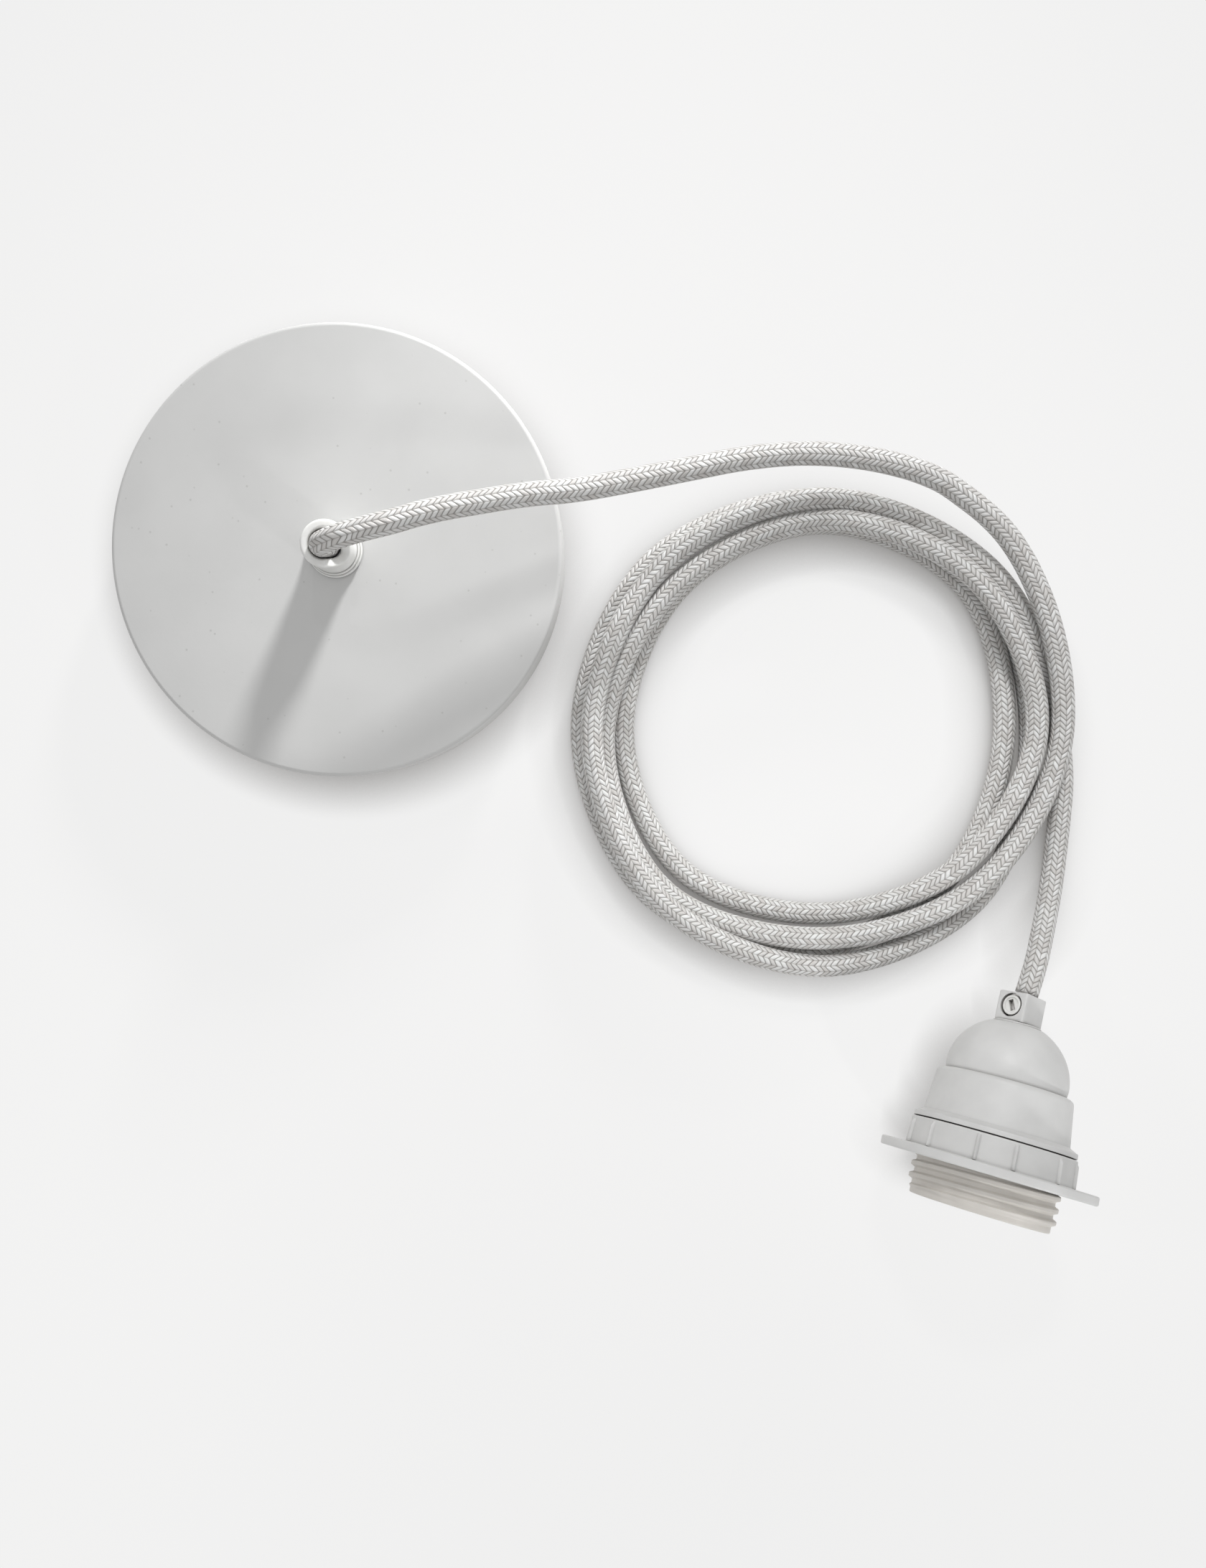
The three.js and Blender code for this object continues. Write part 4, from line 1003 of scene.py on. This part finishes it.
def lamp(name, target, way, elevation, distance, reach, softness, share):
    """A spot lamp of the given share of a level white's light at its target, seen at elevation.

    Its power is share * pi / sin(elevation) * 4 pi distance^2, and its cone reaches around it.
    """
    way = np.array([*way, 0.0]) / math.hypot(*way)
    height = math.sin(elevation * degree)
    data = bpy.data.lights.new(name, "SPOT")
    data.energy = share * math.pi / height * 4 * math.pi * distance**2
    data.spot_size = 2 * math.atan(reach / distance)
    data.spot_blend = 0.45
    data.shadow_soft_size = distance * math.tan(softness / 2 * degree)
    made = bpy.data.objects.new(name, data)
    toward = way * math.cos(elevation * degree) + np.array([0, 0, height])
    made.location = target + distance * toward
    made.rotation_euler = (math.pi / 2 - elevation * degree, 0, math.atan2(way[0], -way[1]))
    bpy.context.scene.collection.objects.link(made)


# Each lamp: its target from the canopy's middle, its way, elevation, distance, reach, softness, share
lamp_table = {
    "low_lamp": ((0, 0, 0.020), low_way, 16, 1.5, 0.130, 8, 0.42),
    "high_lamp": ((0.190, -0.040, 0.010), (-0.12, 0.99), 42, 1.0, 0.130, 12, 0.41),
    "left_lamp": ((0.178, -0.145, 0.015), (-0.95, 0.25), 32, 0.8, 0.060, 12, 0.12),
    "mouth_lamp": ((0.175, -0.165, 0.025), (0.35, -0.93), 35, 0.6, 0.055, 6, 0.18),
    "edge_lamp": ((0.030, -0.030, 0.018), (0.80, -0.60), 30, 0.8, 0.095, 6, 0.06),
}
for name, (target, *settings) in lamp_table.items():
    lamp(name, np.array(target) + [canopy_x, canopy_y, 0], *settings)

# The camera looks straight down but for a lean of 3 degrees, from between canopy and coil
camera_place = (canopy_x + 72.5 * mm, canopy_y - 45.9 * mm, 354 * mm)
camera_lean = -3 * degree
camera_data = bpy.data.cameras.new("camera")
camera_data.lens = 28.0
camera_data.sensor_width = 36.0
camera_data.clip_start = 0.01
camera = bpy.data.objects.new("camera", camera_data)
camera.location = camera_place
camera.rotation_euler = (camera_lean, 0, 0)
bpy.context.scene.collection.objects.link(camera)
bpy.context.scene.camera = camera
bpy.context.scene.view_settings.view_transform = "Standard"
